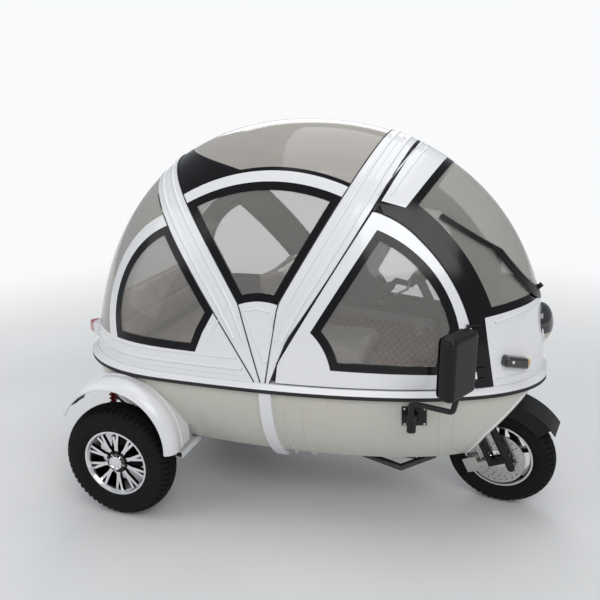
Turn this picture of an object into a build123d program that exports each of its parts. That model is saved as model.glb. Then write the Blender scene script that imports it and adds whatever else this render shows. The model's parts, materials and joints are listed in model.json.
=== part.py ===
from build123d import *
import math
import os

# Enclosed electric tricycle: an egg-shaped cabin over a square-tube frame on three wheels.
#
# The drawing's frame, in mm: +X is forward, +Y is the vehicle's left, +Z is up and the floor is
# z = 0. Every place is measured along X from a datum line under the driver, and all pieces move
# together when they are written, so that the origin lies midway along the vehicle's length.

os.makedirs("parts", exist_ok=True)

# Egg shared by the cabin shell above the belt and the hull below it
EGG_REAR = -1009
EGG_FRONT = 813
EGG_HALF_WIDTH = 522
WIDEST_X = -503
PLAN_POWER = 2.34
BELT_Z = 590
CABIN_HEIGHT = 915
TALLEST_X = -108
PROFILE_POWER = 2.17
LEAN_IN = 0.5
HULL_DEPTH = 445
DEEPEST_X = -130
KEEL_POWER = 2.75
END_CUT_DEGREES = 5
STATIONS = 25
RING_POINTS = 13

# Walls, panes and gaps of the cabin
PANEL_THICKNESS = 14
HULL_THICKNESS = 8
PANE_INSET = 3
PANE_THICKNESS = 5
BORDER_INSET = 1.5
BORDER_THICKNESS = 10
BORDER_WIDTH = 29
DOOR_GAP = 5
REACH = 700

# Belt: black rubber band under a white flared lip
BELT_FLARE = 18
BAND_BOTTOM_Z = 582
LIP_BOTTOM_Z = 596
LIP_TOP_Z = 612

# Arches of the upper side window and of the quarter window, as circles seen from the side
ARCH_X, ARCH_Z = -150, 595
ARCH_RADIUS = 704
ARCH_WIDTH = 36
ROOF_TRIM_WIDTH = 12
QUARTER_X, QUARTER_Z = -438, 820
QUARTER_RADIUS = 333
QUARTER_ARC_WIDTH = 44
HOOP_SEAL_WIDTH = 12

# Lower hull
FLOOR_Z = 290
AXLE_TUNNEL_X = -560
AXLE_TUNNEL_Z = 400
FLOOR_THICKNESS = 8
WHEEL_ARCH_RADIUS = 300
FIT_GAP = 0.5

# Rear wheels and axle
REAR_AXLE_X = -725.5
REAR_TRACK = 1060
REAR_TYRE_RADIUS = 228.5
REAR_TYRE_WIDTH = 116
RIM_RADIUS = 134
AXLE_TUBE_RADIUS = 24
STUB_RADIUS = 12.5
BEARING_GAP = 0.05

# Front wheel, fork and steering
FRONT_AXLE_X = 683
FRONT_TYRE_RADIUS = 214
FRONT_TYRE_WIDTH = 92
RAKE = 27
STEERED_AT_REST = 10
FORK_HALF_WIDTH = 78
FORK_AHEAD = 46
LEG_RADIUS = 15
STEM_RADIUS = 17
MUDGUARD_RADIUS = 258
MUDGUARD_HALF_WIDTH = 58

# Rear fenders
FENDER_X, FENDER_Z = -708, 330
FENDER_CROWN_RADIUS = 250
FENDER_LIP_RADIUS = 220
FENDER_OUTER_Y = 612
FENDER_INNER_Y = 455
FENDER_THICKNESS = 5
FENDER_FRONT_DEGREES = -4
FENDER_REAR_DEGREES = 157

# Frame
RAIL_Y = 200
RAIL_WIDTH = 40
RAIL_TOP_Z = 284
RAIL_HEIGHT = 40
RAIL_REAR_X = -930
RAIL_FRONT_X = 380
KICK_X = -650
KICK_TOP_Z = 392

NODES = {}


def save(name, shape):
    """Keep one node until all are written."""
    NODES[name] = shape


def write_all():
    """Write every node, moved so that the origin is midway between the belt and the front wheel."""
    rear_end = NODES["belt_band"].bounding_box().min.X
    front_end = max(NODES[name].bounding_box().max.X for name in ("front_tyre", "front_mudguard"))
    shift = Location((-(rear_end + front_end) / 2, 0, 0))
    for name, shape in NODES.items():
        export_step(shape.moved(shift), f"parts/{name}.step")


def group(*shapes):
    """Several shapes as one group of solids."""
    return Compound([solid for shape in shapes for solid in shape.solids()])


def both_sides(*shapes):
    """Right-hand shapes and their mirror images on the left, as one group of solids."""
    return group(*shapes, *[mirror(shape, about=Plane.XZ) for shape in shapes])


def outline(*steps):
    """Closed side-view face from steps of (x, z) or, where an arc leads there, (x, z, via_x, via_z)."""
    edges = []
    for before, step in zip((steps[-1],) + steps, steps):
        start, end = before[:2], step[:2]
        edges.append(ThreePointArc(start, step[2:], end) if len(step) == 4 else Line(start, end))
    return make_face(edges)


def disc(x, z, radius):
    """Round side-view face."""
    return Pos(x, z) * Circle(radius)


def side_prism(face, amount=REACH, both=False):
    """Side-view face drawn out to the right of the centre plane, or to both sides."""
    return extrude(Plane.XZ * face, amount=amount, both=both)


def block(x_low, x_high, y_low, y_high, z_low, z_high):
    """Box between two corners."""
    size = (x_high - x_low, y_high - y_low, z_high - z_low)
    middle = ((x_high + x_low) / 2, (y_high + y_low) / 2, (z_high + z_low) / 2)
    return Pos(*middle) * Box(*size)


def rod(start, end, radius):
    """Round bar from one point to another."""
    start, end = Vector(*start), Vector(*end)
    plane = Plane(origin=start, z_dir=end - start)
    return extrude(plane * Circle(radius), amount=(end - start).length)


def about_y(radius, low, high):
    """Round bar along the Y axis between two places."""
    return rod((0, low, 0), (0, high, 0), radius)


# Egg

def swell(x, peak_x, power):
    """Superellipse share: 1 at the peak and 0 at either end of the egg."""
    reach = EGG_FRONT - peak_x if x > peak_x else peak_x - EGG_REAR
    return max(0.0, 1 - abs((x - peak_x) / reach) ** power) ** (1 / power)


def half_width(x):
    return EGG_HALF_WIDTH * swell(x, WIDEST_X, PLAN_POWER)


def stations(inset):
    """Places along the egg, closer together towards its two ends."""
    middle = (EGG_FRONT + EGG_REAR) / 2
    half = (EGG_FRONT - EGG_REAR) / 2 - inset
    turn = (180 - 2 * END_CUT_DEGREES) / (STATIONS - 1)
    return [middle - half * math.cos(math.radians(END_CUT_DEGREES + turn * i)) for i in range(STATIONS)]


def upper_ring(x, inset):
    """Cross-section above the belt: the top of an ellipse whose centre lies below the belt."""
    wide = max(half_width(x) - inset, 20)
    high = max(CABIN_HEIGHT * swell(x, TALLEST_X, PROFILE_POWER) - inset, 20)
    start = math.asin(LEAN_IN / (1 + LEAN_IN))
    across, up = wide / math.cos(start), high * (1 + LEAN_IN)
    turns = [start + (math.pi - 2 * start) * i / (RING_POINTS - 1) for i in range(RING_POINTS)]
    return [Vector(x, -across * math.cos(a), BELT_Z - high * LEAN_IN + up * math.sin(a)) for a in turns]


def lower_ring(x, inset):
    """Cross-section below the belt: half an ellipse."""
    wide = max(half_width(x) - inset, 20)
    deep = max(HULL_DEPTH * swell(x, DEEPEST_X, KEEL_POWER) - inset, 20)
    turns = [math.pi * i / (RING_POINTS - 1) for i in range(RING_POINTS)]
    return [Vector(x, -wide * math.cos(a), BELT_Z - deep * math.sin(a)) for a in turns]


def egg_half(ring, inset):
    """Solid half of the egg, drawn inwards by the inset, flat at the belt and at its two tips."""
    skin = Face.make_surface_from_array_of_points([ring(x, inset) for x in stations(inset)], min_deg=3)
    edges = sorted(skin.edges(), key=lambda edge: edge.center().X)
    rear, front, sides = edges[0], edges[-1], edges[1:-1]
    tips = [Face(Wire([edge, Line(edge @ 1, edge @ 0)])) for edge in (rear, front)]
    belt = Face(Wire([*sides, Line(rear @ 0, rear @ 1), Line(front @ 0, front @ 1)]))
    return Solid(Shell([skin, *tips, belt]))


def plan_face(grow):
    """The egg's outline at the belt seen from above, drawn outwards."""
    widths = [half_width(x) + grow for x in stations(0)]
    right = Spline([(x, -width) for x, width in zip(stations(-grow), widths)])
    left = Spline([(x, width) for x, width in zip(stations(-grow), widths)])
    return make_face([right, Line(right @ 1, left @ 1), left, Line(left @ 0, right @ 0)])


EGG = egg_half(upper_ring, 0)
CABIN_SPACE = egg_half(upper_ring, PANEL_THICKNESS)
LOWER_EGG = egg_half(lower_ring, 0)
HULL_SPACE = egg_half(lower_ring, HULL_THICKNESS + FIT_GAP)
PANEL_LAYER = EGG - CABIN_SPACE
BORDER_LAYER = egg_half(upper_ring, BORDER_INSET) - egg_half(upper_ring, BORDER_INSET + BORDER_THICKNESS)
PANE_LAYER = egg_half(upper_ring, PANE_INSET) - egg_half(upper_ring, PANE_INSET + PANE_THICKNESS)


def panel(layer, face, both=False):
    """One moulded piece of the cabin: a layer of the egg inside a side-view outline."""
    return layer & side_prism(face, both=both)


def window(face, both=False):
    """Border and pane of one window inside a side-view outline."""
    middle = offset(face, -BORDER_WIDTH, kind=Kind.INTERSECTION)
    border = panel(BORDER_LAYER, face, both) - side_prism(middle, both=both)
    return border, panel(PANE_LAYER, middle, both)


# Side-view outlines, in x and z

BASE = LIP_TOP_Z
REAR_HOOP = outline(
    (-140, BASE), (-236, 881), (-668, 1390, -425, 1131), (-745, 1330), (-162, BASE, -459, 1010))
V_PANEL = outline((-122, BASE), (-91, 889), (-236, 881, -163, 897), (-140, BASE))
FRONT_HOOP_WHOLE = outline(
    (-106, BASE), (-52, 767), (325, 1470, 147, 1104), (228, 1503), (-91, 889), (-122, BASE))
DOOR = outline(
    (-84, BASE + DOOR_GAP), (590, BASE + DOOR_GAP), (558, 834), (372, 1115, 485, 985),
    (208, 1207, 303, 1168), (-80, 685))
DOOR_OPENING = offset(DOOR, DOOR_GAP, kind=Kind.INTERSECTION)
DOOR_WINDOW = outline((479, 666), (527, 822), (230, 1150, 410, 1033), (31, 802), (108, 674, 85, 735))
FRONT_HOOP = FRONT_HOOP_WHOLE - DOOR_OPENING
SEALED_HOOP = offset(FRONT_HOOP_WHOLE, HOOP_SEAL_WIDTH, kind=Kind.INTERSECTION)

BAY = outline(
    (-91, 889, -163, 897), (228, 1503), (228, 1700), (-668, 1700), (-668, 1390),
    (-236, 881, -425, 1131))
ARCH_OUTER = ARCH_RADIUS + ARCH_WIDTH
UPPER_WINDOW = BAY & disc(ARCH_X, ARCH_Z, ARCH_RADIUS)
SIDE_ARCH = BAY & (disc(ARCH_X, ARCH_Z, ARCH_OUTER) - disc(ARCH_X, ARCH_Z, ARCH_RADIUS))
ABOVE_ARCH = BAY - disc(ARCH_X, ARCH_Z, ARCH_OUTER)
REAR_CORNER = outline((-800, 1100), (-250, 1322), (-345, 1343), (-590, 1390), (-620, 1500), (-800, 1500))
ROOF = ABOVE_ARCH - disc(ARCH_X, ARCH_Z, ARCH_OUTER + ROOF_TRIM_WIDTH) - REAR_CORNER
ROOF_TRIM = ABOVE_ARCH - ROOF

TAIL = outline((-745, 1330), (-162, BASE, -459, 1010), (-1200, BASE), (-1200, 1330))
BELOW_WINDOWS = outline((-1200, 500), (-1200, 706), (-396, 699), (-369, 772), (-250, 1000), (-100, 500))
FLANK = TAIL & BELOW_WINDOWS
ABOVE_FLANK = TAIL - BELOW_WINDOWS
QUARTER_OUTER = QUARTER_RADIUS + QUARTER_ARC_WIDTH
QUARTER_WINDOW = ABOVE_FLANK & disc(QUARTER_X, QUARTER_Z, QUARTER_RADIUS)
QUARTER_ARC = (ABOVE_FLANK & disc(QUARTER_X, QUARTER_Z, QUARTER_OUTER)) - disc(
    QUARTER_X, QUARTER_Z, QUARTER_RADIUS)
REAR_GLASS = ABOVE_FLANK - disc(QUARTER_X, QUARTER_Z, QUARTER_OUTER)

PILLAR = outline(
    (315, 1221), (606, 854, 505, 1042), (653, BASE), (560, BASE), (300, 1100), (225, 1237)
) - DOOR_OPENING - SEALED_HOOP
HEADER = outline((150, 1265), (315, 1221), (450, 1420), (300, 1550), (200, 1400)) - SEALED_HOOP
HOOP_SEAL = ((SEALED_HOOP - FRONT_HOOP_WHOLE) & outline(
    (150, 1180), (600, 1180), (600, 1600), (270, 1600))) - DOOR_OPENING
WINDSCREEN = outline(
    (606, 854), (315, 1221, 505, 1042), (450, 1420), (450, 1600), (1000, 1600), (1000, 920), (830, 890))
COWL = outline((606, 854), (830, 890), (1000, 920), (1000, BASE), (653, BASE))


# Cabin shell

def cabin():
    """White hoops and panels, black trim between them, and the windows."""
    save("rear_hoop", panel(PANEL_LAYER, REAR_HOOP, both=True))
    save("front_hoop", panel(PANEL_LAYER, FRONT_HOOP, both=True))
    save("v_panels", both_sides(panel(PANEL_LAYER, V_PANEL)))
    save("side_arches", both_sides(panel(PANEL_LAYER, SIDE_ARCH)))
    save("header_band", panel(PANEL_LAYER, HEADER, both=True))
    save("quarter_arcs", both_sides(panel(PANEL_LAYER, QUARTER_ARC)))
    save("rear_flank", panel(PANEL_LAYER, FLANK, both=True))
    save("nose_cowl", panel(PANEL_LAYER, COWL, both=True))
    seal = panel(BORDER_LAYER, HOOP_SEAL, both=True)
    save("front_pillars", group(both_sides(panel(BORDER_LAYER, PILLAR)), seal))
    save("roof_trim", panel(BORDER_LAYER, ROOF_TRIM, both=True))
    save("roof_pane", panel(PANE_LAYER, ROOF, both=True))
    save("rear_pane", panel(PANE_LAYER, REAR_GLASS, both=True))
    upper_border, upper_pane = window(UPPER_WINDOW)
    quarter_border, quarter_pane = window(QUARTER_WINDOW)
    screen_border, screen_pane = window(WINDSCREEN, both=True)
    save("window_borders", group(both_sides(upper_border, quarter_border), screen_border))
    save("side_panes", both_sides(upper_pane, quarter_pane))
    save("windscreen_pane", screen_pane)


def belt():
    """Black band round the widest line, and the white lip that flares out to it."""
    wide = plan_face(BELT_FLARE)
    band = extrude(Pos(0, 0, BAND_BOTTOM_Z) * (wide - plan_face(FIT_GAP)),
                   amount=LIP_BOTTOM_Z - BAND_BOTTOM_Z - FIT_GAP)
    save("belt_band", band - egg_half(lower_ring, -FIT_GAP))
    narrow = Pos(0, 0, LIP_TOP_Z - FIT_GAP) * plan_face(0)
    flare = loft([Pos(0, 0, LIP_BOTTOM_Z) * wide, narrow], ruled=True)
    save("belt_lip", flare - CABIN_SPACE)


# Doors

HINGE_LOW = Vector(592, -336.5, 650)
HINGE_HIGH = Vector(558, -317.5, 830)
HINGE_AXIS = (HINGE_HIGH - HINGE_LOW).normalized()
HINGE_SHARES = (0.08, 0.92)
KNUCKLE_RADIUS = 8
DOOR_KNUCKLE = 24
BODY_KNUCKLE = 12
KNUCKLE_GAP = 0.5
PIN_RADIUS = 4
PIN_GAP = 0.1
LEAF_THICKNESS = 8
LEAF_REACH = 34
LEAF_MARGIN = 3
LATCH = ((76, 100), (-470, -444), (632, 650))
SEAL_LAP = 10
SEAL_ROOT = 14
SEAL_CLEARANCE = 5.5
SEAL_THICKNESS = 7


def hinge_point(share, along=0):
    """Point on the right door's hinge line."""
    return HINGE_LOW + (HINGE_HIGH - HINGE_LOW) * share + HINGE_AXIS * along


def knuckle(share, low, high, radius):
    return rod(hinge_point(share, low), hinge_point(share, high), radius)


def leaf(layer, share, x_low, x_high, z_low, z_high):
    """Hinge plate that follows the egg beside one knuckle."""
    spot = hinge_point(share)
    return layer & block(spot.X + x_low, spot.X + x_high, -REACH, 0, spot.Z + z_low, spot.Z + z_high)


def doors():
    """Front-hinged door of each side, the pillar's half of its hinges and the seal it closes on."""
    half = DOOR_KNUCKLE / 2
    outer = half + KNUCKLE_GAP + BODY_KNUCKLE
    door_leaf_layer = egg_half(upper_ring, -LEAF_THICKNESS) - EGG
    body_leaf_layer = egg_half(upper_ring, -LEAF_THICKNESS) - egg_half(upper_ring, BORDER_INSET)
    frame = panel(PANEL_LAYER, DOOR - DOOR_WINDOW)
    fixed = []
    for share in HINGE_SHARES:
        eye = leaf(door_leaf_layer, share, -LEAF_REACH, 0, LEAF_MARGIN - half, half - LEAF_MARGIN)
        eye += knuckle(share, -half, half, KNUCKLE_RADIUS)
        frame += eye - knuckle(share, -half - 1, half + 1, PIN_RADIUS + PIN_GAP)
        hinge = knuckle(share, -outer, outer, PIN_RADIUS)
        for low, high in ((-outer, -half - KNUCKLE_GAP), (half + KNUCKLE_GAP, outer)):
            hinge += knuckle(share, low, high, KNUCKLE_RADIUS)
            hinge += leaf(body_leaf_layer, share, KNUCKLE_RADIUS - LEAF_MARGIN, LEAF_REACH,
                          low + LEAF_MARGIN, high - LEAF_MARGIN)
        fixed.append(hinge)
    frame += block(*LATCH[0], *LATCH[1], *LATCH[2])
    border, pane = window(DOOR_WINDOW)
    for side, turn in (("right", lambda shape: shape), ("left", lambda shape: mirror(shape, about=Plane.XZ))):
        save(f"door_{side}_frame", turn(frame))
        save(f"door_{side}_border", turn(border))
        save(f"door_{side}_pane", turn(pane))
    save("door_hinges", both_sides(*fixed))

    root = offset(DOOR_OPENING, SEAL_ROOT, kind=Kind.INTERSECTION)
    lip = offset(DOOR_OPENING, -SEAL_LAP, kind=Kind.INTERSECTION)
    back = egg_half(upper_ring, PANEL_THICKNESS + SEAL_CLEARANCE + SEAL_THICKNESS)
    seal = panel(egg_half(upper_ring, PANEL_THICKNESS + FIT_GAP) - back, root - DOOR_OPENING)
    seal += panel(egg_half(upper_ring, PANEL_THICKNESS + SEAL_CLEARANCE) - back, root - lip)
    save("door_seals", both_sides(seal))


# Hull, floor and frame

SEAM_X = -95
POST_WIDTH = 44
POST_THICKNESS = 12
POST_BOTTOM_Z = 246
CUT_FOOT = (576, FLOOR_Z)
CUT_KNEE = (639, 402)
CUT_BEND = (756, 543)
CUT_TOP = (790, BELT_Z)
LINING_THICKNESS = 4
LINING_REAR_X, LINING_FRONT_X = -420, 380


def hull():
    """Tub below the belt, open for the front wheel, in two mouldings with a post over their seam."""
    tub = LOWER_EGG - egg_half(lower_ring, HULL_THICKNESS)
    tub &= side_prism(outline(
        (-1100, AXLE_TUNNEL_Z), (AXLE_TUNNEL_X, AXLE_TUNNEL_Z), (AXLE_TUNNEL_X, FLOOR_Z), CUT_FOOT,
        CUT_KNEE, CUT_BEND, CUT_TOP, (-1100, BELT_Z)), both=True)
    rear = tub & block(-1100, SEAM_X, -REACH, REACH, 0, BELT_Z)
    front = tub & block(SEAM_X, 1000, -REACH, REACH, 0, BELT_Z)
    save("hull_rear", rear)
    save("hull_front", front)
    post = (egg_half(lower_ring, -POST_THICKNESS) - LOWER_EGG) & block(
        SEAM_X - POST_WIDTH - 2, SEAM_X - 2, -REACH, 0, POST_BOTTOM_Z, BAND_BOTTOM_Z - FIT_GAP)
    save("hull_posts", both_sides(post))
    lining = (HULL_SPACE - egg_half(lower_ring, HULL_THICKNESS + FIT_GAP + LINING_THICKNESS)) & block(
        LINING_REAR_X, LINING_FRONT_X, -REACH, -150, FLOOR_Z + FLOOR_THICKNESS + FIT_GAP, BELT_Z - 2)
    save("hull_linings", both_sides(lining))
    save("floor_pan", floor_pan())


def floor_pan():
    """Bent sheet: floor over the axle, step, cabin floor and the arch over the front wheel."""
    def arch(radius, degrees):
        turn = math.radians(degrees)
        return FRONT_AXLE_X - radius * math.cos(turn), AXLE_Z + radius * math.sin(turn)

    low, high = WHEEL_ARCH_RADIUS, WHEEL_ARCH_RADIUS + FLOOR_THICKNESS
    floor_low = math.degrees(math.asin((FLOOR_Z - AXLE_Z) / low))
    floor_high = math.degrees(math.asin((FLOOR_Z + FLOOR_THICKNESS - AXLE_Z) / high))
    sheet = side_prism(outline(
        (-1000, AXLE_TUNNEL_Z), (AXLE_TUNNEL_X - FLOOR_THICKNESS, AXLE_TUNNEL_Z),
        (AXLE_TUNNEL_X - FLOOR_THICKNESS, FLOOR_Z), arch(low, floor_low),
        (*arch(low, 80), *arch(low, 45)), (765, 562), (762, 571), arch(high, 80),
        (*arch(high, floor_high), *arch(high, 45)), (AXLE_TUNNEL_X, FLOOR_Z + FLOOR_THICKNESS),
        (AXLE_TUNNEL_X, AXLE_TUNNEL_Z + FLOOR_THICKNESS), (-1000, AXLE_TUNNEL_Z + FLOOR_THICKNESS)), both=True)
    hole = FORK.location * (Pos(0, 0, WHEEL_ARCH_RADIUS) * Cylinder(HEAD_RADIUS + FIT_GAP, 120))
    return (sheet & HULL_SPACE) - hole


STAND_RADIUS = 13
STAND_POINTS = ((70, 225, 262), (326, 232, 206), (452, 216, 274))
OUTRIGGER_X = -500
OUTRIGGER_WIDTH = 30
CROSS_MEMBERS = ((-900, 352), (-730, 352), (-540, 244), (-120, 244), (330, 244))


def frame():
    """Two stepped square-tube rails with cross members, outriggers and the bent front braces."""
    rail_low, kick_low = RAIL_TOP_Z - RAIL_HEIGHT, KICK_TOP_Z - RAIL_HEIGHT
    rail = outline(
        (RAIL_REAR_X, KICK_TOP_Z), (KICK_X, KICK_TOP_Z), (KICK_X + 55, RAIL_TOP_Z),
        (RAIL_FRONT_X, RAIL_TOP_Z), (RAIL_FRONT_X, rail_low), (KICK_X + 30, rail_low),
        (KICK_X - 25, kick_low), (RAIL_REAR_X, kick_low))
    bar = Pos(0, RAIL_WIDTH / 2 - RAIL_Y, 0) * side_prism(rail, RAIL_WIDTH)
    bar += block(OUTRIGGER_X, OUTRIGGER_X + OUTRIGGER_WIDTH, -505, -RAIL_Y, 256, 281)
    bar += block(OUTRIGGER_X + 8, OUTRIGGER_X + 14, -505, -462, 270, 330)
    for start, end in zip(STAND_POINTS, STAND_POINTS[1:]):
        bar += rod((start[0], -start[1], start[2]), (end[0], -end[1], end[2]), STAND_RADIUS)
    knee = STAND_POINTS[1]
    bar += Pos(knee[0], -knee[1], knee[2]) * Sphere(STAND_RADIUS)
    whole = bar + mirror(bar, about=Plane.XZ)
    for x, z in CROSS_MEMBERS:
        whole += block(x, x + RAIL_WIDTH, -RAIL_Y, RAIL_Y, z, z + RAIL_HEIGHT)
    save("chassis_frame", whole)


# Rear axle, wheels and fenders

DRUM_RADIUS = 80
DRUM_INNER_Y = 440
DRUM_OUTER_Y = 476
MOTOR_RADIUS = 72
MOTOR_LENGTH = 230
STRUT_X = -795
STRUT_Y = 452
STRUT_RADIUS = 9
STRUT_BOTTOM_Z = 285
STRUT_TOP_Z = 485
SPRING_WIDTH = 42


def rear_axle():
    """Live axle with its drive motor, brake drums and shock absorber feet."""
    place = Pos(REAR_AXLE_X, 0, REAR_TYRE_RADIUS)
    stub_end = REAR_TRACK / 2 + REAR_STUB_BEYOND
    axle = place * about_y(AXLE_TUBE_RADIUS, -DRUM_INNER_Y, DRUM_INNER_Y)
    axle += place * about_y(MOTOR_RADIUS, -MOTOR_LENGTH / 2, MOTOR_LENGTH / 2)
    axle += place * about_y(STUB_RADIUS, -stub_end, stub_end)
    for side in (-1, 1):
        axle += place * about_y(DRUM_RADIUS, *sorted((side * DRUM_INNER_Y, side * DRUM_OUTER_Y)))
        axle += block(STRUT_X - 14, STRUT_X + 30, side * STRUT_Y - 12, side * STRUT_Y + 12, 250,
                      STRUT_BOTTOM_Z)
    save("rear_axle", axle)


def spring_gear():
    """Leaf spring beside each rail, and the bracket on the hull over each shock absorber."""
    top = REAR_TYRE_RADIUS + AXLE_TUBE_RADIUS + 0.3
    arc = outline((-903, 340), (-585, 262, REAR_AXLE_X, top), (-585, 271),
                  (-903, 349, REAR_AXLE_X, top + 9))
    inner = RAIL_Y + RAIL_WIDTH / 2 + 0.3
    spring = Pos(0, -inner, 0) * side_prism(arc, SPRING_WIDTH)
    spring += block(-600, -570, -inner - SPRING_WIDTH, -inner, 255, 284)
    spring += block(-915, -890, -inner - SPRING_WIDTH, -inner, 335, 380)
    mount = block(STRUT_X - 12, STRUT_X + 12, -STRUT_Y - 8, -300, STRUT_TOP_Z + 0.3, STRUT_TOP_Z + 14)
    save("spring_gear", both_sides(spring, mount - egg_half(lower_ring, -FIT_GAP)))


def shock_absorbers():
    strut = rod((STRUT_X, -STRUT_Y, STRUT_BOTTOM_Z + 0.3), (STRUT_X, -STRUT_Y, STRUT_TOP_Z), STRUT_RADIUS)
    save("shock_absorbers", both_sides(strut))


def tyre(radius, half, seat_half, shoulder):
    """Tyre about the Y axis: bead on the rim's seat, bulged wall, shoulder and crown."""
    foot = RIM_RADIUS + FIT_GAP
    seat = RIM_RADIUS - 6 + FIT_GAP
    bulge = (foot + radius) / 2 - 8
    wall = radius - 14
    face = make_face([
        Line((-seat_half, seat), (seat_half, seat)), Line((seat_half, seat), (seat_half, foot)),
        Line((seat_half, foot), (seat_half + 5, foot)),
        ThreePointArc((seat_half + 5, foot), (half, bulge), (shoulder, wall)),
        ThreePointArc((shoulder, wall), (0, radius), (-shoulder, wall)),
        ThreePointArc((-shoulder, wall), (-half, bulge), (-seat_half - 5, foot)),
        Line((-seat_half - 5, foot), (-seat_half, foot)), Line((-seat_half, foot), (-seat_half, seat))])
    return revolve(Plane.YZ * face, Axis.Y)


def barrel(seat_half, lip):
    """Rim barrel about the Y axis, with a lip at each edge."""
    edge = seat_half + lip
    return revolve(Plane.YZ * make_face(Polyline(
        (-edge, RIM_RADIUS), (-seat_half, RIM_RADIUS), (-seat_half, RIM_RADIUS - 6),
        (seat_half, RIM_RADIUS - 6), (seat_half, RIM_RADIUS), (edge, RIM_RADIUS), (edge, RIM_RADIUS - 7),
        (seat_half - 3, RIM_RADIUS - 13), (3 - seat_half, RIM_RADIUS - 13), (-edge, RIM_RADIUS - 7),
        close=True)), Axis.Y)


REAR_SEAT_HALF = 44
REAR_STUB_BEYOND = 30
RIM_LIP = 6
SPOKES = 10
SPOKE_DEPTH = 16
HUB_RADIUS = 36
CAP_RADIUS = 28
CAP_FACE = 46


def rear_rim():
    """Ten forked spokes between hub and barrel, on the wheel's right-hand face."""
    rim = barrel(REAR_SEAT_HALF, RIM_LIP)
    rim += about_y(HUB_RADIUS, -34, 40)
    rim += about_y(CAP_RADIUS, -CAP_FACE, -30)
    spoke = make_face(Polyline(
        (30, -9), (62, -7), (124, -17), (124, -7), (86, 0), (124, 7), (124, 17), (62, 7), (30, 9),
        close=True))
    plane = Plane(origin=(0, -18, 0), x_dir=(0, 0, 1), z_dir=(0, -1, 0))
    for turn in range(SPOKES):
        rim += extrude(plane * (Rot(0, 0, turn * 360 / SPOKES) * spoke), amount=SPOKE_DEPTH)
    return rim - about_y(STUB_RADIUS + BEARING_GAP, -REAR_STUB_BEYOND - FIT_GAP, REAR_TRACK)


def rear_wheels():
    rubber = tyre(REAR_TYRE_RADIUS, REAR_TYRE_WIDTH / 2, REAR_SEAT_HALF, 49)
    rim = rear_rim()
    for side, turn in (("right", lambda shape: shape), ("left", lambda shape: mirror(shape, about=Plane.XZ))):
        y = -REAR_TRACK / 2 if side == "right" else REAR_TRACK / 2
        place = Pos(REAR_AXLE_X, y, REAR_TYRE_RADIUS)
        save(f"rear_{side}_tyre", place * turn(rubber))
        save(f"rear_{side}_rim", place * turn(rim))


def fenders():
    """Half-round arch over each rear wheel, closed against the hull."""
    crown, lip, wall = FENDER_CROWN_RADIUS, FENDER_LIP_RADIUS, FENDER_THICKNESS
    edge = FENDER_OUTER_Y
    shoulder = edge - 70
    section = make_face([
        Line((FENDER_INNER_Y, crown - 4), (shoulder, crown)),
        ThreePointArc((shoulder, crown), (edge - 16, crown - 9), (edge, lip)),
        Line((edge, lip), (edge - wall, lip)),
        ThreePointArc((edge - wall, lip), (edge - 16 - wall, crown - 9 - wall), (shoulder, crown - wall)),
        Line((shoulder, crown - wall), (FENDER_INNER_Y, crown - 4 - wall)),
        Line((FENDER_INNER_Y, crown - 4 - wall), (FENDER_INNER_Y, crown - 4))])
    plane = Plane(origin=(FENDER_X, 0, FENDER_Z), x_dir=(0, -1, 0), z_dir=(-1, 0, 0))
    axis = Axis((FENDER_X, 0, FENDER_Z), (0, 1, 0))
    start = (plane * section).rotate(axis, 90 - FENDER_REAR_DEGREES)
    arch = revolve(start, axis, revolution_arc=FENDER_REAR_DEGREES - FENDER_FRONT_DEGREES)
    arch -= egg_half(lower_ring, -FIT_GAP)
    save("rear_fenders", both_sides(arch))


# Fork, steering and front wheel

RAKE_TURN = math.radians(RAKE)
UP_FORK = (-math.sin(RAKE_TURN), 0, math.cos(RAKE_TURN))
FRONT_CROWN = 56
LEAN = math.asin(math.sin(RAKE_TURN) * math.sin(math.radians(STEERED_AT_REST)))
AXLE_Z = (FRONT_TYRE_RADIUS - FRONT_CROWN) * math.cos(LEAN) + FRONT_CROWN
FORK = Plane(origin=(FRONT_AXLE_X, 0, AXLE_Z), x_dir=(math.cos(RAKE_TURN), 0, math.sin(RAKE_TURN)),
             z_dir=UP_FORK)
STEERING = Axis((FRONT_AXLE_X, 0, AXLE_Z), UP_FORK)
CROWN_LOW = 232
CROWN_HIGH = 250
HEAD_LOW = 256
HEAD_HIGH = 430
HEAD_RADIUS = 27
STEM_TOP = 762
FRONT_SEAT_HALF = 32
DISC_RADIUS = 108
DISC_NEAR, DISC_FAR = 51, 56
GRIP_Y = 300


def steered(shape):
    """A piece drawn with the wheel straight ahead, turned to where the steering rests."""
    return shape.rotate(STEERING, -STEERED_AT_REST)


def on_fork(shape):
    """A piece drawn about the axle with Z up the fork, in its place and steered."""
    return steered(FORK.location * shape)


def fork():
    legs = Part()
    for side in (-1, 1):
        y = side * FORK_HALF_WIDTH
        legs += Pos(FORK_AHEAD, y, 96) * Cylinder(LEG_RADIUS, 272)
        legs += Pos(-24, y, 118) * Cylinder(LEG_RADIUS - 4, 236)
        legs += block(-34, FORK_AHEAD + 12, y - 6, y + 6, -14, 14)
        legs += Pos(FORK_AHEAD, y, -40) * Sphere(LEG_RADIUS)
    legs += block(-42, FORK_AHEAD + 22, -FORK_HALF_WIDTH - 16, FORK_HALF_WIDTH + 16, CROWN_LOW, CROWN_HIGH)
    legs += about_y(STUB_RADIUS - 2, -FORK_HALF_WIDTH - 10, FORK_HALF_WIDTH + 10)
    save("front_fork", on_fork(legs))
    save("steering_head", steering_head())


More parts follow.
